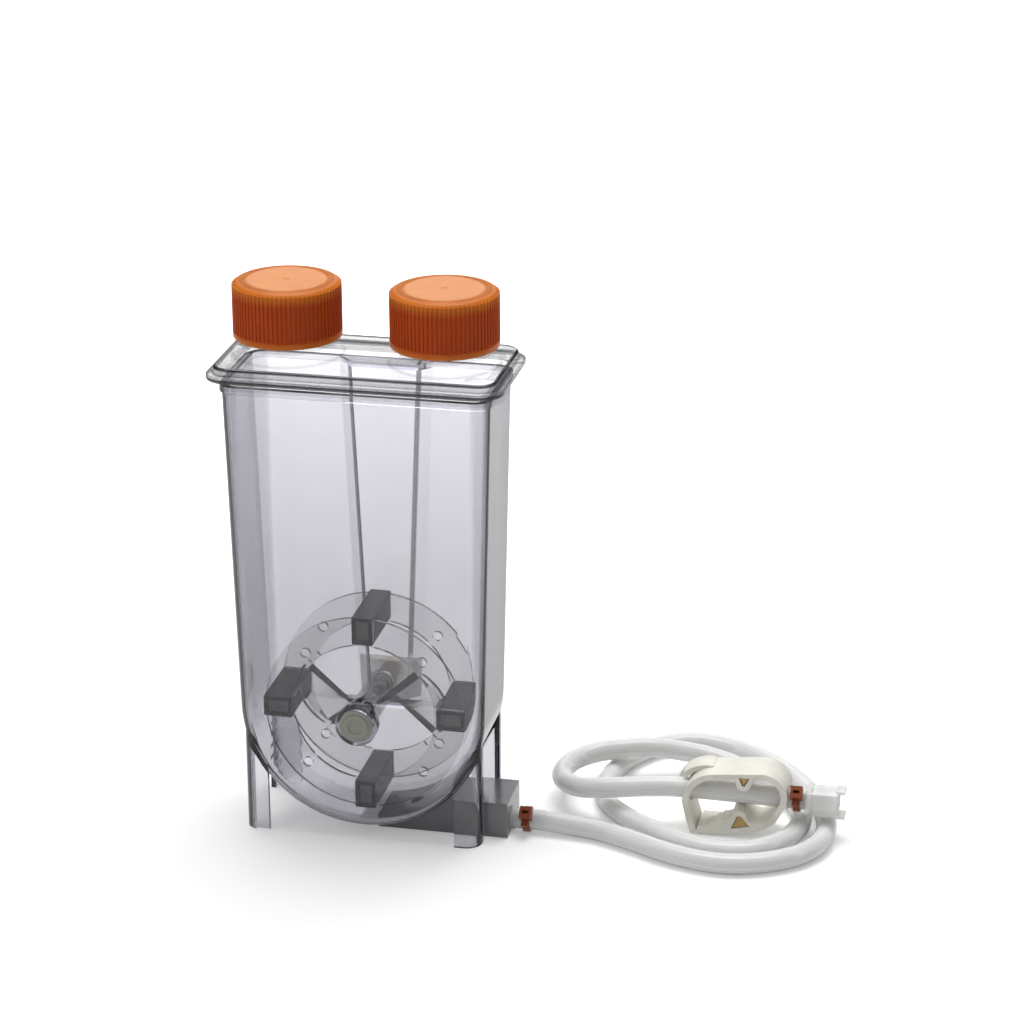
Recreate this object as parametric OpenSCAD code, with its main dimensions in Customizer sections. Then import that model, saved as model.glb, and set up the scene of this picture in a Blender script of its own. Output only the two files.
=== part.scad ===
/* [Vessel] */
// Outer radius of the U-shaped bottom
bottom_r = 47.4; // [40:0.2:58]
// Outward lean of the side walls, degrees
side_draft = 1.5; // [0:0.1:3]
// Outer depth of the vessel, front to rear
vessel_d = 45; // [40:0.5:60]
// Height of the rim's top face
rim_z = 181.8; // [150:0.2:220]
// Wall thickness of the vessel and the lid
wall = 1.8; // [1.4:0.1:2.4]
// Radius of the upright outer corners
corner_r = 6; // [4:0.5:9]
// Height of the vessel's lowest point above the bench
bottom_gap = 4; // [2:0.5:10]
// How far the rim flange stands out of the walls
flange_out = 5.2; // [3:0.2:8]
// Thickness of the rim flange
flange_t = 2.2; // [1.5:0.1:4]
// Height of the thickened band under the flange
band_h = 3; // [2:0.5:6]
// How far the thickened band stands out
band_out = 0.8; // [0.4:0.1:1.5]

/* [Legs] */
// Width of each leg across the front
leg_w = 9.8; // [7:0.2:14]
// Depth of each leg along the side
leg_d = 8; // [6:0.5:12]
// Wall thickness of a leg
leg_t = 2; // [1.4:0.1:2.6]
// How far the legs sit inside the side walls
leg_inset = 1.2; // [0.6:0.1:2]
// How far the legs' front and rear faces stand behind the tub's
leg_step = 0.15; // [0.1:0.05:0.8]

/* [Rear channel] */
// Width of the channel's floor at the rim
channel_top_w = 25.4; // [20:0.2:32]
// Width of the channel's floor at its lower end
channel_low_w = 13.6; // [12:0.2:20]
// Depth of the channel
channel_d = 4.6; // [3:0.2:6]
// Sideways place of the channel's middle
channel_x = 2; // [-3:0.5:3]
// Height of the channel's lower end
channel_z = 40; // [34:1:60]

/* [Lid] */
// Thickness of the lid's flange
lid_t = 2.2; // [1.5:0.1:4]
// Height of the raised plateau above the lid's flange
plateau_h = 2.9; // [2:0.1:5]
// Distance from the flange's edge to the plateau
plateau_in = 2.5; // [1.5:0.1:4]
// Radius of the plateau's round top edge
plateau_edge_r = 1.2; // [0.5:0.1:2]
// Distance of each neck from the middle
neck_x = 29.8; // [26:0.2:36]
// Outer radius of a neck
neck_r = 17.3; // [14:0.1:19]
// Radius of a neck's bore
neck_bore_r = 15.3; // [12:0.1:17]
// Height of a neck above the plateau
neck_h = 25.4; // [18:0.2:34]
// Radius of the cone where it meets the plateau
cone_r = 20.8; // [19:0.1:24]
// Height of the cone above the plateau
cone_h = 4.4; // [3:0.2:6]

/* [Caps] */
// Radius of a cap over its ribs
cap_r = 20.3; // [19:0.1:24]
// Height of a cap
cap_h = 21.3; // [16:0.1:30]
// Thickness of a cap's top
cap_top_t = 1.6; // [1.2:0.1:3]
// Number of grip ribs round a cap
cap_ribs = 75; // [36:1:90]
// Depth of the grip ribs
rib_d = 0.5; // [0.3:0.05:0.8]
// Height of the plain band at a cap's lower edge
cap_band_h = 2.2; // [1.5:0.1:4]
// Radius of a cap's round top edge
cap_edge_r = 1.8; // [0.8:0.1:3]
// Radius of the fine groove round a cap's top disc
cap_disc_r = 14.7; // [12:0.1:17]
// Thickness of the sealing liner in a cap
liner_t = 1; // [0.6:0.1:2]

/* [Wheel] */
// Height of the wheel's axle below the centre of the U
axle_drop = 2.3; // [0:0.1:4]
// Gap between the wheel and the lowest point of the vessel
wheel_gap = 4.5; // [3:0.1:8]
// Width of each ring, outer to inner edge
ring_w = 11.3; // [9:0.1:14]
// Thickness of each ring
ring_t = 1.4; // [1:0.1:2]
// Radius of the hub tube
hub_r = 5.9; // [5:0.1:7]
// How far the hub tube stands out past the rings
hub_out = 1.1; // [0.5:0.1:2]
// Angle of each vane's outer edge above the level, degrees
vane_turn = 41.5; // [30:0.5:50]
// Thickness of the vanes
vane_t = 1.2; // [0.8:0.1:2]
// Radius of the four holes in each ring
ring_hole_r = 1.9; // [1:0.1:3]

/* [Magnet blocks] */
// Radial size of a block
block_h = 11; // [9:0.1:13]
// Width of a block
block_w = 8; // [6:0.1:10]
// How far a block stands out past the rings
block_out = 1; // [0.5:0.1:1.6]
// Gap between the blocks and the rear channel
block_gap = 1.5; // [1:0.1:4]
// Wall round a magnet
block_wall = 1.6; // [1:0.1:2.2]
// Depth of the magnet's end below the block's end
magnet_in = 0.8; // [0.4:0.1:2]

/* [Axle] */
// Radius of the axle plugs' shanks
plug_r = 4.15; // [3.5:0.05:4.6]
// Radius of the front plug's head
plug_head_r = 6.4; // [6:0.1:7]
// Radius of the front boss
boss_r = 8.1; // [7.6:0.1:9]
// Height of the front boss
boss_h = 4.1; // [3:0.1:6]
// How far both plugs stand out of the vessel
plug_out = 5.2; // [4.6:0.1:7]
// Radius of the pins that carry the wheel
pin_r = 1.6; // [1.2:0.05:2]
// Length of each pin
pin_l = 6; // [4:0.5:8]

/* [Drain port] */
// Left end of the port block
port_x0 = 4; // [2:0.5:20]
// Right end of the port block
port_x1 = 54.7; // [52:0.1:60]
// Width of the port block, front to rear
port_w = 21.7; // [16:0.1:28]
// Height of the port block's top face
port_top_z = 14.5; // [12:0.1:20]
// Height of the port block's underside
port_low_z = 0.2; // [0.1:0.1:1]
// Radius of the drain passage
drain_r = 2.4; // [1.5:0.1:3]
// Place of the drain hole to the right of the middle
drain_x = 17.5; // [12:0.5:26]

/* [Hose] */
// Outer diameter of the hose
hose_d = 8; // [7:0.1:8.4]
// Place of the hose's start, front to rear
hose_y = -2.5; // [-4:0.5:4]
// Height of the hose's start
hose_z = 5; // [4.9:0.1:7]
// Length of the barb that stands in the hose
barb_l = 13.2; // [8:0.2:18]
// Width of a cable tie
tie_w = 2.6; // [2:0.1:4]
// Thickness of a cable tie's strap
tie_t = 0.9; // [0.7:0.05:0.9]

/* [Clamp] */
// Depth of the pinch clamp, front to rear
clamp_d = 16; // [12:0.5:18]
// Thickness of the clamp's strap
strap_t = 2.4; // [2:0.1:3]
// Width of the hole that the hose passes through
clamp_hole_d = 9.2; // [8.8:0.1:10.5]
// Width of the release tab
tab_w = 9; // [5:0.5:12]
// Thickness of the release tab
tab_t = 2; // [1.5:0.1:3]

/* [Connector] */
// Radius of the connector's body
connector_r = 6.3; // [5:0.1:6.4]
// Length of the connector outside the hose
connector_l = 14.6; // [10:0.2:20]

/* [Hidden] */
$fn = 96;

// Clearances
slip = 0.05;        // between pieces that are pushed together and don't turn
end_play = 0.5;     // between the hub's ends and the axle plugs
over = 1;           // how far a cutting shape runs past the face that it cuts

// Vessel
u_z = bottom_gap + bottom_r;                // centre of the U
half_d = vessel_d / 2;
rim_half_w = half_width(rim_z);
flange_w = rim_half_w + flange_out;
flange_d = half_d + flange_out;
flange_r = corner_r + flange_out * 0.7;
mouth_z = rim_z - flange_t;                 // underside of the rim flange
channel_y = half_d - channel_d;             // outer face of the channel's floor
channel_slope = channel_d;                  // the channel's sides lie at 45 degrees

// Lid
lid_z = rim_z + lid_t;                      // top of the lid's flange
plateau_z = lid_z + plateau_h;
neck_z = plateau_z + neck_h;                // top of the necks
cap_z1 = neck_z + slip + liner_t + slip + cap_top_t;
cap_z0 = cap_z1 - cap_h;
cap_bore_r = cap_r - rib_d - 1.1;

// Wheel
axle_z = u_z - axle_drop;
ring_r = bottom_r - wall - axle_drop - wheel_gap;
ring_in_r = ring_r - ring_w;
wheel_half = channel_y - wall - block_gap - block_out;
hub_half = wheel_half + hub_out;
bush_r = pin_r + 1;
bush_l = 6;
hole_circle_r = ring_r - ring_w * 0.6;
web_t = 1.8;
web_r = ring_in_r + web_t;
block_gap_angle = 8;                        // from a block's middle to the web's end
block_r1 = ring_r + 0.5;                    // outer face of the blocks
block_half = wheel_half + block_out;
magnet_w = block_w - 2 * block_wall;
magnet_h = block_h - 2 * block_wall;

// Axle
plug_end = half_d + plug_out;               // outer end of both plugs
plug_tip = hub_half + end_play;             // where the shank ends and the pin starts
plug_seat = half_d + boss_h - 1.6;          // seat of the front plug's head
carrier_z0 = axle_z - 7;
carrier_z1 = axle_z + 9;

// Drain and hose
hose_r = hose_d / 2;
barb_r = hose_r * 0.6;
collar_t = 1.3;
hose_x = port_x1 + collar_t;                // the hose starts at the barb's collar
tie_x = 61;
tie_in_r = hose_r + 0.02;
tie2_x = 162.3;
connector_x = 166;
connector_z = 15;
clamp_y = 15.5;
clamp_hole_z = 15.45;

// Centre line of the hose, from the barb to the end connector
route = [
    [hose_x, hose_y, hose_z], [66, hose_y, hose_z], [78, -3, 4.3], [90, -5, 4], [103, -10.5, 4],
    [116, -17, 4], [130, -21.5, 4], [143, -22, 4], [156, -17.5, 4], [167, -9, 4],
    [173, 3, 4], [173.5, 16.5, 4], [170.5, 30, 4], [164, 43.5, 4], [155, 57, 4],
    [143.5, 69, 4], [130, 78, 4], [115.5, 81.5, 4], [103, 78, 4], [93.5, 68.5, 4],
    [87.5, 56, 4], [84.5, 43, 4], [84.5, 30, 4], [89, 18, 4], [98, 8, 4],
    [109, -0.5, 4], [121, -7.5, 4], [133.5, -11.5, 4], [145.5, -10.5, 4], [155.5, -3.5, 4],
    [161.5, 6.5, 4], [163.5, 18, 4], [161, 30, 4], [154.5, 41, 4], [145, 50.5, 4.5],
    [134, 57, 6.2], [122, 60, 8.2], [110, 58.5, 10.5], [98.5, 55, 12.5], [88, 51.2, 12.6],
    [78.5, 48.5, 11.5], [71, 42, 10.6], [67.8, 32, 10.2], [70.3, 22, 10.8], [77.5, 15, 12],
    [86.5, 12.6, 13.6], [96, 12.8, 14.8], [106, 14.5, 15.3], [118, clamp_y, 15.7],
    [140, clamp_y, 15.5], [154, clamp_y, 15.2], [connector_x, clamp_y, connector_z]
];

// ---- Shapes shared by several pieces ----

// Half the outer width of the vessel at height z, above the U
function half_width(z) = bottom_r / cos(side_draft) + (z - u_z) * tan(side_draft);

// Points of an arc, from angle a0 to a1, both included
function arc(x, y, r, a0, a1, steps) =
    [for (i = [0:steps]) let (a = a0 + (a1 - a0) * i / steps) [x + r * cos(a), y + r * sin(a)]];

function unit(v) = v / norm(v);

// Direction across a path at its point i
function across(path, i) =
    let (d = unit(path[min(i + 1, len(path) - 1)] - path[max(i - 1, 0)])) [-d[1], d[0]];

// Outline of a band of one thickness that follows a path
function band(path, thick) = concat(
    [for (i = [0:len(path) - 1]) path[i] + across(path, i) * thick / 2],
    [for (i = [len(path) - 1:-1:0]) path[i] - across(path, i) * thick / 2]
);

// Upright plate with rounded corners, from z0 to z1
module plate(half_w, depth, r, z0, z1) {
    translate([0, 0, z0])
        linear_extrude(z1 - z0)
            rounded_rect(half_w, depth, r);
}

// Plate with a round top edge, made of two crossed bars and a turned post at each corner
module soft_plate(half_w, depth, r, z0, z1, edge_r) {
    h = z1 - z0;
    translate([0, 0, z0]) {
        rotate([90, 0, 90])
            linear_extrude(2 * (half_w - r), center = true) soft_section(depth, h, edge_r);
        rotate([90, 0, 0])
            linear_extrude(2 * (depth - r), center = true) soft_section(half_w, h, edge_r);
        for (x = [-1, 1], y = [-1, 1])
            translate([x * (half_w - r), y * (depth - r), 0])
                rotate_extrude() {
                    square([r - edge_r, h]);
                    square([r, h - edge_r]);
                    translate([r - edge_r, h - edge_r]) circle(edge_r);
                }
    }
}

// Section of a bar with round top edges
module soft_section(half_w, h, edge_r) {
    translate([edge_r - half_w, 0]) square([2 * (half_w - edge_r), h]);
    translate([-half_w, 0]) square([2 * half_w, h - edge_r]);
    for (x = [-1, 1]) translate([x * (half_w - edge_r), h - edge_r]) circle(edge_r);
}

module rounded_rect(half_w, depth, r) {
    square([2 * half_w, 2 * (depth - r)], center = true);
    square([2 * (half_w - r), 2 * depth], center = true);
    for (x = [-1, 1], y = [-1, 1])
        translate([x * (half_w - r), y * (depth - r)]) circle(r);
}

// Body of the vessel: a round-edged drum for the U, and leaning walls with round corners on it
module u_body(r, depth, round_r, top) {
    drum(r, depth, round_r);
    intersection() {
        rotate([90, 0, 0])
            linear_extrude(2 * depth, center = true)
                wall_outline(r, top);
        for_side(1) corner_prism(r, depth, round_r, 2 * rim_z);
        for_side(-1) corner_prism(r, depth, round_r, 2 * rim_z);
    }
}

// Drum on the wheel's axis whose rims are rounded as the vessel's corners are
module drum(r, depth, round_r) {
    translate([0, 0, u_z])
        rotate([90, 0, 0])
            rotate_extrude() {
                translate([0, -depth]) square([r - round_r, 2 * depth]);
                translate([0, round_r - depth]) square([r, 2 * (depth - round_r)]);
                for (y = [-1, 1]) translate([r - round_r, y * (depth - round_r)]) circle(round_r);
            }
}

// Outline of the walls above the U, which they meet where they touch its circle
module wall_outline(r, top) {
    side = [r * cos(side_draft), u_z - r * sin(side_draft)];
    top_w = r / cos(side_draft) + (top - u_z) * tan(side_draft);
    polygon([[0, u_z], side, [top_w, top], [-top_w, top], [-side[0], side[1]]]);
}

module for_side(side) {
    translate([0, 0, u_z])
        rotate([0, side * side_draft, 0])
            mirror([side < 0 ? 1 : 0, 0, 0])
                children();
}

// Prism whose right-hand upright edges are rounded
module corner_prism(r, depth, round_r, length) {
    reach = 2 * bottom_r;
    translate([0, 0, -length / 2])
        linear_extrude(length) {
            translate([-reach, -depth]) square([reach + r - round_r, 2 * depth]);
            translate([-reach, round_r - depth]) square([reach + r, 2 * (depth - round_r)]);
            for (y = [-1, 1]) translate([r - round_r, y * (depth - round_r)]) circle(round_r);
        }
}

// Tapered channel with sloping sides; grow widens it on every side
module channel_shape(z0, z1, floor_y, back_y, grow) {
    function floor_w(z) = channel_low_w / 2
        + (channel_top_w - channel_low_w) / 2 * (z - channel_z) / (rim_z - channel_z) + grow;
    function back_w(z) = floor_w(z) + channel_slope * (back_y - floor_y) / channel_d;
    polyhedron(
        points = [
            for (z = [z0, z1]) each [
                [channel_x - floor_w(z), floor_y, z], [channel_x + floor_w(z), floor_y, z],
                [channel_x + back_w(z), back_y, z], [channel_x - back_w(z), back_y, z]
            ]
        ],
        faces = [[0, 1, 2, 3], [7, 6, 5, 4], [4, 5, 1, 0], [5, 6, 2, 1], [6, 7, 3, 2], [7, 4, 0, 3]]
    );
}

// Cylinder along the axle, between two distances towards the front
module axle_cylinder(r, y0, y1) {
    translate([0, 0, axle_z])
        rotate([90, 0, 0])
            translate([0, 0, min(y0, y1)]) cylinder(r = r, h = abs(y1 - y0));
}

// Lies the wheel's pieces on the axle: +Z of a piece becomes the front
module on_axle() {
    translate([0, 0, axle_z])
        rotate([90, 0, 0])
            children();
}

module ring(r_out, r_in, h) {
    difference() {
        cylinder(r = r_out, h = h);
        translate([0, 0, -over]) cylinder(r = r_in, h = h + 2 * over);
    }
}

// Part of a tube's wall, between two angles
module tube_sector(r_out, r_in, a0, a1, h) {
    reach = 2 * r_out;
    intersection() {
        ring(r_out, r_in, h);
        linear_extrude(h)
            polygon([[0, 0], reach * [cos(a0), sin(a0)], reach * [cos(a1), sin(a1)]]);
    }
}

// ---- Vessel ----

module vessel_tub() {
    color([0.80, 0.82, 0.86, 0.35])
        difference() {
            union() {
                u_body(bottom_r, half_d, corner_r, rim_z);
                plate(flange_w, flange_d, flange_r, mouth_z, rim_z);
                plate(half_width(mouth_z) + band_out, half_d + band_out, corner_r + band_out,
                    mouth_z - band_h, mouth_z);
                legs();
                axle_cylinder(boss_r, half_d - wall, half_d + boss_h);
            }
            difference() {
                u_body(bottom_r - wall, half_d - wall, corner_r - wall, rim_z + over);
                channel_shape(channel_z - wall, rim_z + 2 * over, channel_y - wall,
                    half_d, wall * 0.6);
            }
            channel_shape(channel_z, mouth_z - band_h, channel_y, half_d + over, 0);
            axle_cylinder(plug_r + slip, -half_d - over, half_d + boss_h + over);
            axle_cylinder(plug_head_r + slip, plug_seat, half_d + boss_h + over);
            translate([drain_x, hose_y, 0]) cylinder(r = drain_r, h = u_z);
        }
}

// Four corner legs, cut from one rounded skirt
module legs() {
    leg_x = bottom_r - leg_inset;
    leg_y = half_d - leg_step;
    intersection() {
        difference() {
            plate(leg_x, leg_y, corner_r, 0, u_z);
            plate(leg_x - leg_t, leg_y - leg_t, corner_r - leg_t, -over, u_z + over);
        }
        for (x = [-1, 1], y = [-1, 1])
            translate([x * (leg_x - leg_w / 2), y * (leg_y - leg_d / 2), u_z / 2])
                cube([leg_w, leg_d, u_z], center = true);
    }
}

module lid() {
    inner_w = rim_half_w - wall;
    inner_d = half_d - wall;
    inner_r = corner_r - wall;
    gate_r = 3.2;                               // two round gate marks by the front edge
    gate_h = 0.3;
    gate_x = flange_w - plateau_in - 9;
    gate_y = plateau_in + gate_r + 2 * plateau_edge_r - flange_d;
    color([0.82, 0.84, 0.88, 0.35])
        difference() {
            union() {
                plate(flange_w, flange_d, flange_r, rim_z, lid_z);
                soft_plate(flange_w - plateau_in, flange_d - plateau_in, flange_r - plateau_in,
                    lid_z - slip, plateau_z, plateau_edge_r);
                for (side = [-1, 1]) translate([side * neck_x, 0, plateau_z]) {
                    cylinder(r1 = cone_r, r2 = neck_r, h = cone_h);
                    cylinder(r = neck_r, h = neck_h);
                }
                for (x = [0, gate_x])
                    translate([x, gate_y, plateau_z - over]) cylinder(r = gate_r, h = over + gate_h);
            }
            plate(inner_w, inner_d, inner_r, rim_z - over, plateau_z - wall);
            for (side = [-1, 1]) translate([side * neck_x, 0, rim_z])
                cylinder(r = neck_bore_r, h = neck_z - rim_z + over);
        }
}

// ---- Caps ----

module cap(side) {
    groove_w = 0.5;
    groove_d = 0.2;
    translate([side * neck_x, 0, 0])
        difference() {
            union() {
                translate([0, 0, cap_z0]) cylinder(r = cap_r, h = cap_band_h);
                cap_shell();
                for (i = [0:cap_ribs - 1]) rotate([0, 0, i * 360 / cap_ribs]) cap_rib();
            }
            translate([0, 0, cap_z0 - over])
                cylinder(r = cap_bore_r, h = cap_z1 - cap_top_t - cap_z0 + over);
            translate([0, 0, cap_z1 - groove_d])
                ring(cap_disc_r + groove_w / 2, cap_disc_r - groove_w / 2, groove_d + over);
        }
}

// Turned body of a cap, with a round top edge
module cap_shell() {
    root_r = cap_r - rib_d;
    rotate_extrude() {
        translate([0, cap_z0]) square([root_r, cap_h - cap_edge_r]);
        translate([0, cap_z0]) square([root_r - cap_edge_r, cap_h]);
        translate([root_r - cap_edge_r, cap_z1 - cap_edge_r]) circle(cap_edge_r);
    }
}

// One grip rib, whose top end slopes into the round edge
module cap_rib() {
    half_w = 0.28 * PI * cap_r / cap_ribs * 2;
    root_r = cap_r - rib_d - 0.4;
    low_z = cap_z0 + cap_band_h - slip;
    high_z = cap_z1 - cap_edge_r * 0.45;
    rotate([90, 0, 0])
        linear_extrude(2 * half_w, center = true)
            polygon([
                [root_r, low_z], [cap_r, low_z], [cap_r, high_z - 1.2],
                [cap_r - rib_d, high_z], [root_r, high_z]
            ]);
}

module cap_left() { color([0.86, 0.36, 0.08]) cap(-1); }

module cap_right() { color([0.86, 0.36, 0.08]) cap(1); }

module cap_liner(side) {
    color([0.93, 0.93, 0.9])
        translate([side * neck_x, 0, neck_z + slip])
            cylinder(r = cap_bore_r - slip, h = liner_t);
}

module cap_liner_left() { cap_liner(-1); }

module cap_liner_right() { cap_liner(1); }

// ---- Mixing wheel ----

// One moulded half: ring, half hub, two half vanes and the webs at their outer edges.
// It is drawn from the wheel's middle plane, z = 0, outwards.
module wheel_half_part() {
    difference() {
        union() {
            translate([0, 0, wheel_half - ring_t]) ring(ring_r, ring_in_r, ring_t);
            cylinder(r = hub_r, h = hub_half);
            vane();
            web();
            mirror([1, 0, 0]) vane();
            mirror([1, 0, 0]) web();
        }
        translate([0, 0, -over]) cylinder(r = bush_r + slip, h = hub_half + 2 * over);
        for (a = [0:90:270]) {
            rotate([0, 0, a + 45])
                translate([hole_circle_r, 0, 0])
                    cylinder(r = ring_hole_r, h = wheel_half + over);
            rotate([0, 0, a])
                translate([block_r1 - block_h / 2, 0, wheel_half])
                    cube([block_h + 2 * slip, block_w + 2 * slip, 2 * wheel_half + over],
                        center = true);
        }
    }
}

// Vane that turns from level at the middle plane to vane_turn at the ring
module vane() {
    steps = 10;
    spans = 1;
    root = bush_r + 1;
    tip = ring_in_r + web_t / 2;
    n = 2 * (spans + 1);
    last = n * steps;
    polyhedron(
        points = [for (k = [0:steps]) each vane_section(k / steps, root, tip, spans)],
        faces = concat(
            [[for (i = [0:n - 1]) i], [for (i = [n - 1:-1:0]) last + i]],
            [for (k = [0:steps - 1], i = [0:n - 1]) each
                let (a = n * k + i, b = n * k + (i + 1) % n)
                i < spans
                    ? [[a, a + n, b], [b, a + n, b + n]]
                    : [[a, a + n, b + n], [a, b + n, b]]]
        )
    );
}

// Outline of the vane at a share of its depth: out along the lower face, back along the upper
function vane_section(share, root, tip, spans) =
    let (
        turn = vane_turn * share,
        reach = [for (i = [0:spans]) root + (tip - root) * i / spans],
        lower = [for (r = reach) [r, -half_vane(r)]],
        upper = [for (i = [spans:-1:0]) [reach[i], half_vane(reach[i])]]
    )
    [for (p = concat(lower, upper))
        [p[0] * cos(turn) - p[1] * sin(turn), p[0] * sin(turn) + p[1] * cos(turn),
            wheel_half * share]];

// Half the vane's thickness as cut at radius r, so that it is equally thick all along
function half_vane(r) = vane_t / 2 * norm([1, r * vane_turn * PI / 180 / wheel_half]);

// Curved web that joins a vane's outer edge to the ring, cut off along the vane
module web() {
    mid_a = (vane_turn + block_gap_angle) / 2;
    half_a = (vane_turn - block_gap_angle) / 2;
    low_z = wheel_half * block_gap_angle / vane_turn;
    slope = atan((wheel_half - low_z) / (2 * web_r * sin(half_a)));
    tab_a = 10;
    tab_h = 3;
    rotate([0, 0, mid_a])
        difference() {
            tube_sector(web_r, ring_in_r, -half_a, half_a, wheel_half);
            translate([0, 0, (wheel_half + low_z) / 2])
                rotate([slope, 0, 0])
                    translate([0, 0, -ring_r]) cube(2 * ring_r * [1, 1, 1], center = true);
        }
    translate([0, 0, wheel_half - tab_h])
        tube_sector(web_r, ring_in_r, vane_turn, vane_turn + tab_a, tab_h);
}

module wheel_front_half() {
    color([0.80, 0.81, 0.85, 0.4]) on_axle() wheel_half_part();
}

// The rear half has a shallow flat on the ring's right edge, which ends in a small step
module wheel_rear_half() {
    flat_d = 1;
    color([0.80, 0.81, 0.85, 0.4])
        on_axle()
            difference() {
                rotate([180, 0, 0]) wheel_half_part();
                translate([0, 0, -wheel_half - over])
                    tube_sector(ring_r + over, ring_r - flat_d, 8, 38, 2 * over + ring_t);
            }
}

module hub_bush(side) {
    color([0.72, 0.72, 0.68])
        on_axle()
            translate([0, 0, side > 0 ? hub_half - bush_l : -hub_half])
                ring(bush_r, pin_r + slip, bush_l);
}

module hub_bush_front() { hub_bush(1); }

module hub_bush_rear() { hub_bush(-1); }

// Dark block that spans both rings, with a through pocket for its magnet
module block(angle) {
    color([0.16, 0.15, 0.17])
        on_axle()
            rotate([0, 0, angle])
                translate([block_r1 - block_h / 2, 0, 0])
                    difference() {
                        cube([block_h, block_w, 2 * block_half], center = true);
                        cube([magnet_h + 2 * slip, magnet_w + 2 * slip, 2 * block_half + over],
                            center = true);
                    }
}

module block_right() { block(0); }

module block_top() { block(90); }

module block_left() { block(180); }

module block_bottom() { block(270); }

module magnet(angle) {
    color([0.3, 0.3, 0.31])
        on_axle()
            rotate([0, 0, angle])
                translate([block_r1 - block_h / 2, 0, 0])
                    cube([magnet_h, magnet_w, 2 * (block_half - magnet_in)], center = true);
}

module magnet_right() { magnet(0); }

module magnet_top() { magnet(90); }

module magnet_left() { magnet(180); }

module magnet_bottom() { magnet(270); }

// ---- Axle ----

// Plug pushed into the front boss; its pin carries the wheel's front bush
module front_axle_plug() {
    rim_w = 1.5;
    rim_step = 0.6;
    dish_r = 2.9;
    dish_d = 0.4;
    color([0.45, 0.46, 0.42]) {
        axle_cylinder(pin_r, plug_tip - pin_l, plug_tip);
        axle_cylinder(plug_r, plug_tip, plug_seat);
        axle_cylinder(plug_head_r, plug_seat, plug_end - rim_step);
        difference() {
            axle_cylinder(plug_head_r - rim_w, plug_end - rim_step - slip, plug_end);
            axle_cylinder(dish_r, plug_end - dish_d, plug_end + over);
        }
    }
}

// Pin that stands in the rear carrier; its tip carries the wheel's rear bush
module rear_axle_pin() {
    color([0.3, 0.31, 0.28]) {
        axle_cylinder(pin_r, pin_l - plug_tip, -plug_tip);
        axle_cylinder(plug_r, -plug_tip, -plug_end);
    }
}

// Cream block that fills the lower end of the rear channel, with a round boss
module rear_bearing_carrier() {
    boss_end = plug_end - 1.4;
    color([0.87, 0.84, 0.74])
        difference() {
            union() {
                channel_shape(carrier_z0, carrier_z1, channel_y + slip, half_d - 0.3, -slip * 2);
                axle_cylinder(plug_head_r, -channel_y - 2, -boss_end);
            }
            axle_cylinder(plug_r + slip, -channel_y + over, -boss_end - over);
        }
}

// ---- Drain ----

// Block under the vessel's right half, with the passage from the drain hole to the barb
module port_block() {
    height = port_top_z - port_low_z;
    socket_l = 8;
    color([0.22, 0.23, 0.26])
        difference() {
            translate([port_x0, -port_w / 2, port_low_z])
                cube([port_x1 - port_x0, port_w, height]);
            translate([0, 0, u_z])
                rotate([90, 0, 0])
                    cylinder(r = bottom_r + slip, h = vessel_d, center = true);
            translate([drain_x, hose_y, hose_z]) cylinder(r = drain_r, h = height);
            along_x(drain_x, hose_z) cylinder(r = drain_r, h = port_x1 - drain_x + over);
            along_x(port_x1 - socket_l, hose_z) cylinder(r = barb_r + 1 + slip, h = socket_l + over);
        }
}

// Lays children along the hose's start, from x at height z
module along_x(x, z) {
    translate([x, hose_y, z])
        rotate([0, 90, 0])
            children();
}

module hose_barb() {
    bore = 1.5;
    shank_l = 7.5;
    barbs = 3;
    pitch = barb_l / barbs;
    color([0.85, 0.87, 0.88, 0.6])
        difference() {
            union() {
                along_x(port_x1 - shank_l, hose_z) cylinder(r = barb_r + 1, h = shank_l);
                along_x(port_x1, hose_z) cylinder(r = hose_r + 0.5, h = collar_t);
                for (i = [0:barbs - 1]) along_x(hose_x + i * pitch, hose_z)
                    cylinder(r1 = barb_r + 0.4, r2 = barb_r - 0.4, h = pitch);
            }
            along_x(port_x1 - shank_l - over, hose_z)
                cylinder(r = bore, h = shank_l + collar_t + barb_l + 2 * over);
        }
}

// Point of a smooth curve through the route, at parameter t after point i
function route_at(i, t) =
    let (
        n = len(route) - 1,
        p0 = i > 0 ? route[i - 1] : 2 * route[0] - route[1],
        p1 = route[i],
        p2 = route[i + 1],
        p3 = i + 2 <= n ? route[i + 2] : 2 * route[n] - route[n - 1]
    )
    (2 * p1 + (p2 - p0) * t + (2 * p0 - 5 * p1 + 4 * p2 - p3) * t * t
        + (3 * p1 - p0 - 3 * p2 + p3) * t * t * t) / 2;

function hose_line() = concat(
    [for (i = [0:len(route) - 2]) each i % 2 == 0 ? [route_at(i, 0), route_at(i, 0.5)]
        : [route_at(i, 0)]],
    [route[len(route) - 1]]
);

// Ring of points round the hose at point i of its line
function hose_ring(line, i, r, sides) =
    let (
        d = unit(line[min(i + 1, len(line) - 1)] - line[max(i - 1, 0)]),
        s = unit(cross([0, 0, 1], d)),
        u = cross(d, s)
    )
    [for (k = [0:sides - 1]) line[i] + r * (cos(360 * k / sides) * s + sin(360 * k / sides) * u)];

module hose() {
    sides = 10;
    line = hose_line();
    last = (len(line) - 1) * sides;
    color([0.93, 0.93, 0.92])
        polyhedron(
            points = [for (i = [0:len(line) - 1]) each hose_ring(line, i, hose_r, sides)],
            faces = concat(
                [[for (k = [0:sides - 1]) k]],
                [for (i = [0:len(line) - 2], k = [0:sides - 1])
                    let (a = i * sides, n = (k + 1) % sides)
                    [a + k, a + sides + k, a + sides + n, a + n]],
                [[for (k = [sides - 1:-1:0]) last + k]]
            )
        );
}

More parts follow.
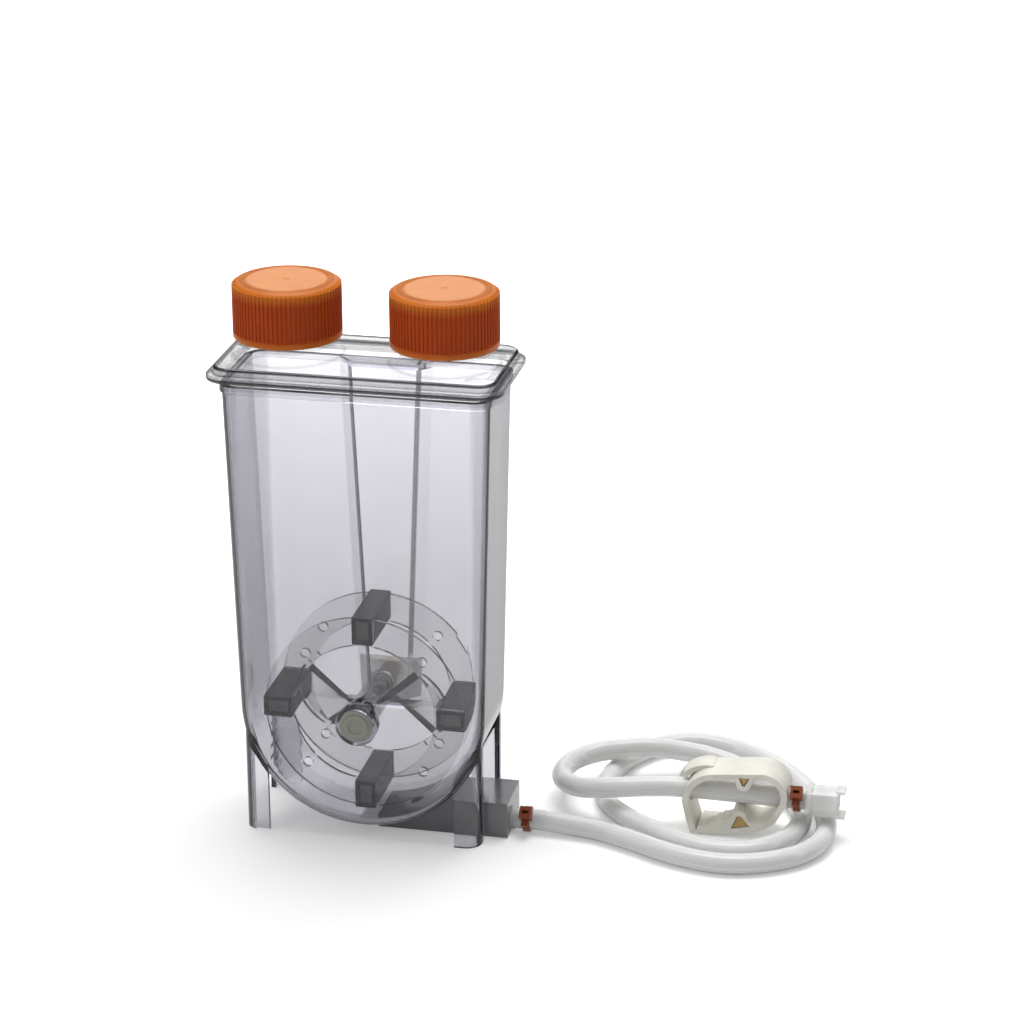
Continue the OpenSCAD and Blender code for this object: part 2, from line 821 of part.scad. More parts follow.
// Cable tie round the hose, drawn about the hose's line along +X. Its head has a slot in its
// outer face, where the tail was cut off.
module cable_tie() {
    head = 4.6;
    head_h = 3.6;
    slot_w = 2.4;
    slot_t = 1.3;
    slot_d = 2;
    lean = 45;
    head_z = tie_in_r + tie_t * 0.4;
    color([0.62, 0.25, 0.08]) {
        rotate([0, 90, 0])
            translate([0, 0, -tie_w / 2]) ring(tie_in_r + tie_t, tie_in_r, tie_w);
        rotate([lean, 0, 0])
            difference() {
                translate([-head / 2, -head / 2, head_z]) cube([head, head, head_h]);
                translate([-slot_w / 2, -slot_t / 2, head_z + head_h - slot_d])
                    cube([slot_w, slot_t, slot_d + over]);
            }
        rotate([lean, 0, 0])
            translate([-tie_w / 2, -head / 2 - 2.8, tie_in_r + 1]) cube([tie_w, 3, tie_t]);
    }
}

module inlet_cable_tie() {
    translate([tie_x, hose_y, hose_z]) cable_tie();
}

module outlet_cable_tie() {
    translate([tie2_x, clamp_y, connector_z]) cable_tie();
}

// ---- Pinch clamp ----

// Middle line of the clamp's strap, from the toothed end round to the open end
function clamp_line() = let (
        left = [131.5, 13.2],
        left_r = 12.6 - strap_t / 2,
        right = [149.5, 17.9],
        right_r = 9.7 - strap_t / 2
    )
    concat(
        [[125, 1.5], [131, 1.5], [136.4, 2.4], [141.2, 3.2], [146.2, 4.3], [150.6, 5.8],
            [154.1, 8.6]],
        arc(right[0], right[1], right_r, -32, 96, 13),
        arc(left[0], left[1], left_r, 96, 180, 9),
        [[121.8, 6], [123.3, 1]]
    );

// Round-nosed jaw on a base that is sunk into the strap
module jaw(base, nose, nose_r) {
    polygon(base);
    translate(nose) circle(nose_r);
}

module pinch_clamp() {
    color([0.90, 0.89, 0.83])
        translate([0, clamp_y + clamp_d / 2, 0])
            rotate([90, 0, 0])
                difference() {
                    union() {
                        linear_extrude(clamp_d) clamp_outline();
                        translate([0, 0, clamp_d / 2]) linear_extrude(clamp_d / 2) rack();
                        linear_extrude(tab_w) release_tab(138);
                        linear_extrude(tab_w * 0.42) release_tab(166);
                    }
                    jaw_pockets();
                    clamp_hose_holes();
                }
}

module clamp_outline() {
    nose_r = 3;
    polygon(band(clamp_line(), strap_t));
    jaw([[138.4, 26], [139.5, 22.6], [145.5, 22.6], [146.9, 26.4]], [142.5, 22.9], nose_r);
    jaw(
        [[136, 2.2], [138, 8.4], [144, 8.4], [145.2, 6.9], [147.4, 6.2], [149.8, 6.2],
            [146.4, 4.2], [141.2, 2.8]],
        [141, 8.4], nose_r
    );
}

// Curved finger tab that leaves the strap and ends at an angle round its own middle
module release_tab(end_a) {
    polygon(band(arc(128, 12.8, 12.4, 82, end_a, 8), tab_t));
}

// Ramp of latch teeth that rises from the end of the lower arm to its jaw
module rack() {
    pitch = 2.6;
    polygon([
        [125.6, 1.2],
        for (i = [0:3]) let (x = 126 + i * pitch, z = 1.8 + i * 1.5)
            each [[x, z], [x + 1, z + 1.4], [x + 2, z + 1.2]],
        [138.6, 8.6], [138.6, 3.2], [131, 1.2]
    ]);
}

// Blind three-sided pockets in the front of both jaws
module jaw_pockets() {
    pocket_d = clamp_d * 0.75;
    translate([0, 0, clamp_d - pocket_d])
        linear_extrude(pocket_d + over) {
            polygon([[140.5, 25.4], [144.7, 25.4], [143, 21.9], [142, 21.9]]);
            polygon([[137.9, 3.6], [145.2, 5.2], [141.9, 9.2], [140.3, 9.2]]);
        }
}

// Openings at the clamp's two ends for the hose; the right-hand one runs up to a point
module clamp_hose_holes() {
    r = clamp_hole_d / 2;
    for (x = [116, 151])
        translate([x, clamp_hole_z, clamp_d / 2])
            rotate([0, 90, 0])
                cylinder(r = r, h = 9);
    translate([160, 0, clamp_d / 2])
        rotate([0, -90, 0])
            linear_extrude(9)
                polygon([
                    [clamp_hole_z, -r], [24.4, -r], [27.9, -0.8],
                    [27.9, 0.8], [24.4, r], [clamp_hole_z, r]
                ]);
}

// ---- End connector ----

module end_connector() {
    bore = 2.6;
    neck_l = 2.4;
    tongue_l = 2.6;
    translate([connector_x, clamp_y, connector_z])
        rotate([0, 90, 0])
            color([0.86, 0.88, 0.88, 0.7])
                difference() {
                    union() {
                        translate([0, 0, -barb_l]) cylinder(r1 = barb_r - 0.4, r2 = barb_r, h = barb_l);
                        cylinder(r = connector_r, h = neck_l);
                        translate([0, 0, neck_l - slip])
                            cylinder(r = connector_r * 1.02, h = connector_l - neck_l - tongue_l,
                                $fn = 8);
                        for (side = [-1, 1])
                            translate([side * (connector_r - 1.2) - 0.6, -3, connector_l - tongue_l - 1])
                                cube([1.2, 6, tongue_l + 1]);
                    }
                    translate([0, 0, 1]) cylinder(r = 4.4, h = connector_l);
                    translate([0, 0, -barb_l - over]) cylinder(r = 1.5, h = barb_l + 3);
                }
}

module connector_seal() {
    translate([connector_x + 1 + slip, clamp_y, connector_z])
        rotate([0, 90, 0])
            color([0.9, 0.9, 0.88])
                ring(4.35, 2.2, 7);
}

vessel_tub();
lid();
cap_left();
cap_right();
cap_liner_left();
cap_liner_right();
wheel_front_half();
wheel_rear_half();
hub_bush_front();
hub_bush_rear();
block_top();
block_right();
block_bottom();
block_left();
magnet_top();
magnet_right();
magnet_bottom();
magnet_left();
front_axle_plug();
rear_axle_pin();
rear_bearing_carrier();
port_block();
hose_barb();
hose();
inlet_cable_tie();
outlet_cable_tie();
pinch_clamp();
end_connector();
connector_seal();
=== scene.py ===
"""Looks of a bench bioreactor with a vertical mixing wheel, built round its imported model."""

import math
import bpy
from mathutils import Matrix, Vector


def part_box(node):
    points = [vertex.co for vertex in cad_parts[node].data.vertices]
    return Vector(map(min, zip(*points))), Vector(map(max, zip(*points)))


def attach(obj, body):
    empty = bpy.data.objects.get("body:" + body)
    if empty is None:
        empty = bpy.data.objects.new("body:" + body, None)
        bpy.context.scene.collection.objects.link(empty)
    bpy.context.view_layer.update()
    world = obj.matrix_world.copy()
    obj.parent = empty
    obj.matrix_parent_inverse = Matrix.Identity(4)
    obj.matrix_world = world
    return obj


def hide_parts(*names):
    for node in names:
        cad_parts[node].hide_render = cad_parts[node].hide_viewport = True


bl_info = {
    "name": "Bench bioreactor",
    "version": (1, 0, 0),
    "blender": (4, 5, 0),
    "location": "View3D > Sidebar > Bioreactor",
    "description": "Builds a bench bioreactor with its mixing wheel, drain hose, clamp and stage",
    "category": "Add Mesh",
}

from contextlib import contextmanager

import bmesh
import bpy
from bpy.props import FloatProperty, FloatVectorProperty, IntProperty, PointerProperty
from mathutils import Matrix, Vector
from mathutils.bvhtree import BVHTree

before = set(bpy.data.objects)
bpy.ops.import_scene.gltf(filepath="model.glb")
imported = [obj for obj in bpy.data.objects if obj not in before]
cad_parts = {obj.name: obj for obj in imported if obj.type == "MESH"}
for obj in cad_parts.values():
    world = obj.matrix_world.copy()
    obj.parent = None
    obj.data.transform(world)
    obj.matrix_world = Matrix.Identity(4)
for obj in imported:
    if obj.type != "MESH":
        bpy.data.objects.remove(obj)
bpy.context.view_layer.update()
MM = 0.001
WHITE = (1.0, 1.0, 1.0)

# Camera: degrees round the object, above it and about its own axis; metres; millimetres of lens
CAMERA_AZIMUTH, CAMERA_ELEVATION, CAMERA_ROLL = 12.302, 21.068, -0.24
CAMERA_DISTANCE, CAMERA_TARGET = 1.24767, (0.054625, 0.0, 0.129691)
CAMERA_SENSOR, CAMERA_LENS = 36.0, 118.13

# Tub, in metres: where its side walls lie, how far out its round corners start and how far under
# the lid its rim begins; walls and corners get painted shade. Its rear channel's right edge, which
# gets a painted dark line of shade, starts at X and Z and leans out as it rises
SIDE_WALL, CORNER_REACH, RIM_DROP = (0.0435, 0.0455), 0.036, 0.0026
CHANNEL_X, CHANNEL_Z, CHANNEL_LEAN = 0.0094, 0.040, 0.0059 / 0.1418

# Hose, in metres: its outside, and how far its ends stretch over a barb and along what length
HOSE_OUTER_R, BARB_STRETCH, BARB_LENGTH = 0.00396, 0.00045, 0.0135

# Centre line of the drain hose, from the barb to the end connector, in metres
HOSE_ROUTE = [
    (0.056, -0.0025, 0.005), (0.066, -0.0025, 0.005), (0.078, -0.003, 0.0043),
    (0.090, -0.005, 0.004), (0.103, -0.0105, 0.004), (0.116, -0.017, 0.004),
    (0.130, -0.0215, 0.004), (0.143, -0.022, 0.004), (0.156, -0.0175, 0.004),
    (0.167, -0.009, 0.004), (0.173, 0.003, 0.004), (0.1735, 0.0165, 0.004),
    (0.1705, 0.030, 0.004), (0.164, 0.0435, 0.004), (0.155, 0.057, 0.004),
    (0.1435, 0.069, 0.004), (0.130, 0.078, 0.004), (0.1155, 0.0815, 0.004),
    (0.103, 0.078, 0.004), (0.0935, 0.0685, 0.004), (0.0875, 0.056, 0.004),
    (0.0845, 0.043, 0.004), (0.0845, 0.030, 0.004), (0.089, 0.018, 0.004),
    (0.098, 0.008, 0.004), (0.109, -0.0005, 0.004), (0.121, -0.0075, 0.004),
    (0.1335, -0.0115, 0.004), (0.1455, -0.0105, 0.004), (0.1555, -0.0035, 0.004),
    (0.1615, 0.0065, 0.004), (0.1635, 0.018, 0.004), (0.161, 0.030, 0.004),
    (0.1545, 0.041, 0.004), (0.145, 0.0505, 0.0045), (0.134, 0.057, 0.0062),
    (0.122, 0.060, 0.0082), (0.110, 0.0585, 0.0105), (0.0985, 0.055, 0.0125),
    (0.088, 0.0512, 0.0126), (0.0785, 0.0485, 0.0115), (0.071, 0.042, 0.0106),
    (0.0678, 0.032, 0.0102), (0.0703, 0.022, 0.0108), (0.0775, 0.015, 0.012),
    (0.0865, 0.0126, 0.0136), (0.096, 0.0128, 0.0148), (0.106, 0.0145, 0.0153),
    (0.118, 0.0155, 0.0157), (0.140, 0.0155, 0.0155), (0.154, 0.0155, 0.0152),
    (0.166, 0.0155, 0.015),
]


def length_prop(name, description, default, low, high):
    """Property for a length in metres, shown in the scene's unit."""
    return FloatProperty(name=name, description=description, default=default, min=low, max=high,
                         unit="LENGTH", precision=5)


def count_prop(name, description, default, low, high):
    """Property for a number of like details."""
    return IntProperty(name=name, description=description, default=default, min=low, max=high)


def colour_prop(name, description, default):
    """Property for a linear colour."""
    return FloatVectorProperty(name=name, description=description, default=default, size=3,
                               min=0.0, max=1.0, subtype="COLOR")


class BioreactorSizes(bpy.types.PropertyGroup):
    """Sizes of the visible detail that the construction model leaves plain."""

    rib_count: count_prop("Grip ribs", "Number of grip ribs round a cap", 75, 24, 120)
    rib_depth: length_prop("Rib depth", "How far a grip rib stands out", 0.0005, 0.0002, 0.001)
    cap_band: length_prop("Cap band", "Height of a cap's plain foot", 0.0022, 0.001, 0.004)
    cap_edge: length_prop("Cap edge", "Radius of a cap's round top edge", 0.0018, 0.0005, 0.003)
    serrations: count_prop("Serrations", "Number of fine ridges on a cap's top edge", 120, 48, 240)
    thread_pitch: length_prop("Thread pitch", "Rise of a thread's turn", 0.0042, 0.002, 0.006)
    thread_depth: length_prop("Thread depth", "How far a thread stands out", 0.0008, 0.0003, 0.001)
    hose_bore: length_prop("Hose bore", "Inner diameter of the drain hose", 0.005, 0.003, 0.0065)
    wall: length_prop("Wall", "Wall thickness of the lid", 0.0018, 0.001, 0.003)
    plateau_edge: length_prop("Plateau edge", "Edge radius of the lid's plateau",
                              0.0013, 0.0003, 0.0025)


class BioreactorColours(bpy.types.PropertyGroup):
    """Colours of the finishes."""

    vessel: colour_prop("Vessel", "Light that the tub's plastic lets through", (0.42, 0.41, 0.47))
    # cap, cap_edge and cap_top hold painted light and shade: deep orange for the shaded sides,
    # paler painted light at the foot and the edge, a lighter painted top
    cap: colour_prop("Cap", "Screw caps, deep between the ribs", (0.50, 0.062, 0.001))
    cap_edge: colour_prop("Cap edge", "A cap's edge and foot, lit through", (0.70, 0.19, 0.018))
    cap_top: colour_prop("Cap top", "A cap's top", (0.65, 0.255, 0.085))
    smoke: colour_prop("Smoke", "Smoke-grey blocks of the wheel", (0.014, 0.011, 0.015))
    port: colour_prop("Port", "Port block", (0.165, 0.17, 0.178))
    silicone: colour_prop("Silicone", "Milky hose", (0.95, 0.945, 0.92))
    clamp: colour_prop("Clamp", "Pinch clamp", (0.76, 0.74, 0.67))
    # tan is painted shade and bounced light deep in the clamp's jaw pockets
    tan: colour_prop("Tan", "Fillings of the clamp's jaw pockets", (0.56, 0.36, 0.12))
    tie: colour_prop("Cable tie", "Cable ties", (0.22, 0.050, 0.016))
    plug: colour_prop("Axle plug", "Grey-green axle plug", (0.27, 0.28, 0.24))
    pin: colour_prop("Rear pin", "Rear axle pin", (0.20, 0.21, 0.18))
    cream: colour_prop("Cream", "Bearing carrier", (0.78, 0.73, 0.56))
    floor: colour_prop("Floor", "Floor", (0.80, 0.80, 0.80))


def settings():
    """The add-on's two property groups."""
    scene = bpy.context.scene
    return scene.bioreactor_sizes, scene.bioreactor_colours


# ---- Points and outlines, in millimetres ----

def in_mm(point):
    """A point in metres as a list of millimetres."""
    return [c / MM for c in point]


def node_box(node):
    """Lowest and highest corner of a node, in millimetres."""
    low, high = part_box(node)
    return in_mm(low), in_mm(high)


def node_round(node):
    """Foot of a round upright node's axis, its radius and its height, in millimetres."""
    low, high = node_box(node)
    foot = ((low[0] + high[0]) / 2, (low[1] + high[1]) / 2, low[2])
    return foot, (high[0] - low[0]) / 2, high[2] - low[2]


def arc(x, y, r, start, end, steps):
    """Points of an arc between two angles in degrees, both included."""
    angles = [math.radians(start + (end - start) * i / steps) for i in range(steps + 1)]
    return [(x + r * math.cos(a), y + r * math.sin(a)) for a in angles]


def rounded(points, radii, steps=4, closed=True):
    """Outline with its corners rounded. radii holds one radius for each corner."""
    count = len(points)
    radii = list(radii)
    nearly_straight = math.radians(88)
    if not closed:
        radii[0] = radii[-1] = 0
    made = []
    for i, radius in enumerate(radii):
        here = Vector(points[i])
        before = Vector(points[i - 1]) - here
        after = Vector(points[(i + 1) % count]) - here
        if radius <= 0 or before.length < 1e-6 or after.length < 1e-6:
            made.append(tuple(here))
            continue
        half = before.angle(after) / 2
        if half > nearly_straight:
            made.append(tuple(here))
            continue
        cut = min(radius / math.tan(half), before.length * 0.49, after.length * 0.49)
        radius = cut * math.tan(half)
        before, after = before.normalized(), after.normalized()
        middle = here + (before + after).normalized() * radius / math.sin(half)
        start, end = here + before * cut - middle, here + after * cut - middle
        for k in range(steps + 1):
            made.append(tuple(middle + start.lerp(end, k / steps).normalized() * radius))
    return made


def rounded_box(half_w, half_d, r, steps=8):
    """Outline of a rounded rectangle round the middle, anticlockwise."""
    made = []
    for k, (x, y) in enumerate([(1, 1), (-1, 1), (-1, -1), (1, -1)]):
        made += arc(x * (half_w - r), y * (half_d - r), r, 90 * k, 90 * k + 90, steps)
    return made


def circle(x, y, r, steps=96):
    """Points of a full circle, anticlockwise."""
    return arc(x, y, r, 0, 360 * (1 - 1 / steps), steps - 1)


# ---- Meshes ----

@contextmanager
def reworked(mesh, source=None):
    """Opens a mesh, or the one that it is made from, for changes and then writes them to it."""
    work = bmesh.new()
    work.from_mesh(source or mesh)
    yield work
    work.to_mesh(mesh)
    work.free()


class Shell:
    """Collects points in millimetres and faces, ring by ring, and makes a piece of them."""

    def __init__(self):
        self.points = []
        self.faces = []
        self.layout = {}

    def ring(self, points):
        """Adds points and returns their numbers."""
        start = len(self.points)
        self.points += [tuple(p) for p in points]
        return list(range(start, len(self.points)))

    def level(self, outline, z):
        """Adds a flat outline at height z and returns its numbers."""
        return self.ring([(x, y, z) for x, y in outline])

    def shaded_level(self, outline, z, share):
        """Adds a flat outline whose points all have a share as their place in the layout."""
        made = self.level(outline, z)
        self.layout.update((n, (share, 0.0)) for n in made)
        return made

    def skin(self, a, b):
        """Joins two rings with quads."""
        for i in range(len(a)):
            j = (i + 1) % len(a)
            self.faces.append((a[i], a[j], b[j], b[i]))

    def stack(self, rings):
        """Joins a row of rings with quads."""
        for a, b in zip(rings, rings[1:]):
            self.skin(a, b)

    def layout_of(self, face):
        """Places of a face's corners in the layout; across the seam they run on past 1."""
        corners = [self.layout.get(i, (0.0, 0.0)) for i in face]
        wide = max(u for u, v in corners) - min(u for u, v in corners) > 0.5
        return [(u + 1.0 if wide and u < 0.5 else u, v) for u, v in corners]

    def end(self, ring):
        """Closes a ring with one face."""
        self.faces.append(tuple(ring))

    def fill(self, outer, holes):
        """Fills a flat ring that has round holes in it with triangles."""
        mesh = bmesh.new()
        numbers = {}
        edges = []
        for ring in [outer, *holes]:
            verts = [mesh.verts.new(self.points[i]) for i in ring]
            numbers.update(zip(verts, ring))
            edges += [mesh.edges.new(pair) for pair in zip(verts, verts[1:] + verts[:1])]
        made = bmesh.ops.triangle_fill(mesh, use_beauty=True, edges=edges)
        for face in made["geom"]:
            if isinstance(face, bmesh.types.BMFace):
                self.faces.append(tuple(numbers[v] for v in face.verts))
        mesh.free()

    def piece(self, name, sharp=32):
        """Makes an object in metres with outward faces and edges that are sharp past an angle."""
        mesh = bpy.data.meshes.new(name)
        mesh.from_pydata([Vector(p) * MM for p in self.points], [], self.faces)
        if self.layout:
            layer = mesh.uv_layers.new(name="UVMap")
            for face in mesh.polygons:
                for loop, corner in zip(face.loop_indices, self.layout_of(tuple(face.vertices))):
                    layer.data[loop].uv = corner
        with reworked(mesh) as work:
            bmesh.ops.remove_doubles(work, verts=work.verts, dist=1e-6)
            bmesh.ops.dissolve_degenerate(work, edges=work.edges, dist=1e-7)
            bmesh.ops.recalc_face_normals(work, faces=work.faces)
        return as_piece(name, mesh, sharp)


def as_piece(name, mesh, sharp=32, level=True):
    """Object of a mesh, smooth between its sharp edges. With level, large faces look flat."""
    mesh.shade_smooth()
    mesh.set_sharp_from_angle(angle=math.radians(sharp))
    piece = bpy.data.objects.new(name, mesh)
    bpy.context.scene.collection.objects.link(piece)
    if level:
        weigh = piece.modifiers.new("Level faces", "WEIGHTED_NORMAL")
        weigh.mode = "FACE_AREA"
        weigh.weight = 100
        weigh.keep_sharp = True
    return piece


def copy_of(node, name, sharp=32, level=True):
    """Merged copy of a construction solid, whose flat faces are whole again."""
    mesh = bpy.data.meshes.new(name)
    with reworked(mesh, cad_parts[node].data) as work:
        bmesh.ops.remove_doubles(work, verts=work.verts, dist=2e-6)
        bmesh.ops.dissolve_limit(work, angle_limit=math.radians(0.15), verts=work.verts,
                                 edges=work.edges)
    return as_piece(name, mesh, sharp, level)


def keep_flat(piece, area):
    """Lets each face larger than an area in square metres keep its own direction."""
    with reworked(piece.data) as work:
        for face in work.faces:
            if face.calc_area() > area:
                for side in face.edges:
                    side.smooth = False
    return piece


def cut_level(piece, z, keep_top):
    """Keeps what is above or below a height and closes the cut."""
    with reworked(piece.data) as work:
        cut = bmesh.ops.bisect_plane(work, geom=[*work.verts, *work.edges, *work.faces],
                                     plane_co=(0, 0, z), plane_no=(0, 0, 1),
                                     clear_outer=not keep_top, clear_inner=keep_top)
        rim = [e for e in cut["geom_cut"] if isinstance(e, bmesh.types.BMEdge)]
        bmesh.ops.triangle_fill(work, edges=rim, use_beauty=True,
                                normal=(0, 0, -1 if keep_top else 1))
    return piece


def soften(piece, width, segments=2):
    """Rounds a piece's sharp edges by a width in metres."""
    bevel = piece.modifiers.new("Moulded edges", "BEVEL")
    bevel.width = width
    bevel.segments = segments
    bevel.limit_method = "ANGLE"
    bevel.angle_limit = math.radians(35)
    piece.modifiers.move(len(piece.modifiers) - 1, 0)
    return piece


def turned(name, profile, foot, steps=96):
    """Piece turned from a closed outline of (radius, height) about an upright axis."""
    shell = Shell()
    x, y, z = foot
    shell.stack([shell.level(circle(x, y, max(r, 0.0), steps), z + h)
                 for r, h in [*profile, profile[0]]])
    return shell.piece(name)


def plain_mesh(piece):
    """Turns a piece's modifiers into its own mesh."""
    graph = bpy.context.evaluated_depsgraph_get()
    mesh = bpy.data.meshes.new_from_object(piece.evaluated_get(graph))
    piece.modifiers.clear()
    old = piece.data
    piece.data = mesh
    mesh.name = piece.name
    bpy.data.meshes.remove(old)
    return piece


def paint(piece, material):
    """Gives a piece, or a construction solid that stays, its one material."""
    piece.data.materials.clear()
    piece.data.materials.append(material)


def finish_piece(piece, body, slot, material, *nodes):
    """Gives a piece its material and body, and hides the nodes that it stands for; its slot is not
    used.
    """
    paint(piece, material)
    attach(piece, body)
    if nodes:
        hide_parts(*nodes)
    return piece


def stand_in(node, name, slot, material, width=0.0, segments=2):
    """Copy of a construction solid on the vessel, softened by a width, in place of the solid."""
    piece = copy_of(node, name)
    if width:
        soften(piece, width, segments)
    return finish_piece(piece, "vessel", slot, material, node)


# ---- Own UV maps, which tell a finish where to paint a piece's dark lines of shade ----

def mark(piece, name, share_of):
    """Makes a UV map whose U is a share for each face."""
    layer = piece.data.uv_layers.new(name=name)
    for face in piece.data.polygons:
        share = share_of(face)
        for corner in face.loop_indices:
            layer.data[corner].uv = (share, 0.0)
    return piece


def mark_edges(piece, deep, axis, hub_r):
    """Marks faces with deep plastic behind them, as on a sheet's edges, for painted shade, and
    little on the hub.
    """
    mesh = piece.data
    tree = BVHTree.FromPolygons([v.co for v in mesh.vertices], [f.vertices for f in mesh.polygons])
    mesh.calc_loop_triangles()
    largest = {}
    for part in mesh.loop_triangles:
        if part.polygon_index not in largest or part.area > largest[part.polygon_index][0]:
            largest[part.polygon_index] = (part.area, Vector(part.center))
    hub_shade_share = 0.15

    def share_of(face):
        middle = largest[face.index][1]
        distance = tree.ray_cast(middle - face.normal * 1e-5, -face.normal)[3]
        share = 1.0 if distance is None or distance > deep else 0.0
        on_hub = math.hypot(middle[0] - axis[0], middle[2] - axis[2]) < hub_r
        return share * hub_shade_share if on_hub else share

    return mark(piece, "Edges", share_of)


def mark_corners(piece, reach):
    """Marks the round upright corners further out than a reach to either side, for painted shade.
    """
    def share_of(face):
        n, x = face.normal, face.center.x
        upright = abs(n.z) < 0.3 and abs(n.x) > 0.1 and abs(n.y) > 0.1
        return 1.0 if upright and n.x * x > 0 and abs(x) > reach else 0.0

    return mark(piece, "Corners", share_of)


def mark_lines(piece, width):
    """Marks faces narrower than a width, such as those of a small edge radius, for painted dark
    lines.
    """
    vertices = piece.data.vertices

    def share_of(face):
        corners = [vertices[n].co for n in face.vertices]
        outline = sum((a - b).length for a, b in zip(corners, corners[1:] + corners[:1]))
        return 0.8 if face.area < width * outline / 2 and abs(face.normal.z) > 0.1 else 0.0

    return mark(piece, "Lines", share_of)


# ---- Node trees ----

class Tree:
    """A node tree, with short ways to add nodes and sums."""

    def __init__(self, tree):
        self.tree = tree
        tree.nodes.clear()

    def link(self, source, target):
        """Links an output to an input."""
        self.tree.links.new(source, target)

    def put(self, value, socket):
        """Links another node's output to a socket, or sets the socket's plain value."""
        if isinstance(value, bpy.types.NodeSocket):
            self.link(value, socket)
        elif socket.type == "RGBA":
            socket.default_value = (*value[:3], 1.0)
        else:
            socket.default_value = value

    def add(self, kind, **inputs):
        """Adds a node and fills its named inputs."""
        node = self.tree.nodes.new(kind)
        for key, value in inputs.items():
            self.put(value, node.inputs[key.replace("_", " ")])
        return node

    def operate(self, kind, operation, *values):
        """Adds a node that does an operation on values and returns its outputs."""
        node = self.tree.nodes.new(kind)
        node.operation = operation
        for value, socket in zip(values, node.inputs):
            self.put(value, socket)
        return node.outputs

    def number(self, operation, *values):
        """Result of a sum on sockets or plain numbers."""
        return self.operate("ShaderNodeMath", operation, *values)[0]

    def product(self, first, *others):
        """Product of sockets and plain numbers."""
        for other in others:
            first = self.number("MULTIPLY", first, other)
        return first

    def vector(self, x, y, z):
        """Vector of sockets or plain numbers."""
        return self.add("ShaderNodeCombineXYZ", X=x, Y=y, Z=z).outputs[0]

    def parts(self, vector):
        """A vector's three numbers."""
        return self.add("ShaderNodeSeparateXYZ", Vector=vector).outputs[:3]

    def between(self, share, low, high, start=0.3, end=0.7):
        """Number that runs from low to high as a share goes from start to end."""
        return self.add("ShaderNodeMapRange", Value=share, From_Min=start, From_Max=end,
                        To_Min=low, To_Max=high).outputs["Result"]

    def grown(self, share, start, end):
        """Number that grows from 0 to 1 as a share goes from start to end."""
        return self.between(share, 0.0, 1.0, start, end)

    def ray(self, kind):
        """1 for one kind of ray, such as Camera, and 0 for the others."""
        return self.add("ShaderNodeLightPath").outputs[f"Is {kind} Ray"]

    def mix_shader(self, share, first, second):
        """Shader that goes from one to another by a share."""
        mix = self.add("ShaderNodeMixShader")
        for value, socket in zip((share, first, second), mix.inputs):
            self.link(value, socket)
        return mix.outputs["Shader"]


class Finish(Tree):
    """A material's node tree, with short ways to add what the finishes share."""

    def __init__(self, name):
        self.material = bpy.data.materials.new(name)
        self.material.use_nodes = True
        super().__init__(self.material.node_tree)
        self.shader = self.add("ShaderNodeBsdfPrincipled")
        self.output = self.add("ShaderNodeOutputMaterial", Surface=self.shader.outputs["BSDF"])
        coordinates = self.add("ShaderNodeTexCoord").outputs
        self.place, self.own_uv = coordinates["Object"], coordinates["UV"]

    def set(self, **values):
        """Fills the shader's own sockets."""
        for key, value in values.items():
            self.put(value, self.shader.inputs[key.replace("_", " ")])

    def noise(self, scale, detail=3.0, stretch=(1, 1, 1), distortion=0.0, source=None):
        """Noise on the object's own coordinates, in features per metre, or on another source."""
        mapping = self.add("ShaderNodeMapping", Vector=self.place if source is None else source,
                           Scale=stretch)
        return self.add("ShaderNodeTexNoise", Vector=mapping.outputs["Vector"], Scale=scale,
                        Detail=detail, Distortion=distortion).outputs["Fac"]

    def facing(self):
        """0 where a surface is seen square on, 1 where it is grazed."""
        return self.add("ShaderNodeLayerWeight", Blend=0.5).outputs["Facing"]

    def ramp(self, share, stops):
        """Colour that runs through stops of (position, colour) as a share grows."""
        node = self.add("ShaderNodeValToRGB", Fac=share)
        elements = node.color_ramp.elements
        while len(elements) < len(stops):
            elements.new(0.5)
        for element, (position, colour) in zip(elements, stops):
            element.position = position
            element.color = (*colour, 1)
        return node.outputs["Color"]

    def two_tone(self, share, colour, darker, lighter, start=0.35, end=0.65):
        """Colour that runs from a darker to a lighter tone as a share goes from start to end."""
        return self.ramp(share, ((start, shade(colour, darker)), (end, shade(colour, lighter))))

    def mixed(self, share, first, second):
        """Colour that runs from a colour socket to a plain colour by a share."""
        node = self.add("ShaderNodeMix")
        node.data_type = "RGBA"
        for value, index in ((share, 0), (first, 6), (second, 7)):
            self.put(value, node.inputs[index])
        return node.outputs[2]

    def bump(self, height, distance, strength, under=None):
        """Bump from a height, on top of another bump."""
        node = self.add("ShaderNodeBump", Strength=strength, Distance=distance, Height=height)
        if under is not None:
            self.link(under, node.inputs["Normal"])
        return node.outputs["Normal"]

    def done(self, colour, rough, normal):
        """Links what varies over the surface and returns the material."""
        self.set(Base_Color=colour, Roughness=rough, Normal=normal)
        return self.material

    def mottled(self, colour, cloud, fine, rough, cloud_bump=(0.0001, 0.4),
                fine_bump=(0.00002, 0.3)):
        """Ends a finish whose soft clouds lie over a fine grain."""
        return self.done(colour, self.between(fine, *rough),
                         self.bump(cloud, *cloud_bump, self.bump(fine, *fine_bump)))


def shade(colour, factor):
    """A colour made lighter or darker."""
    return tuple(min(1.0, c * factor) for c in colour)


# ---- Finishes ----

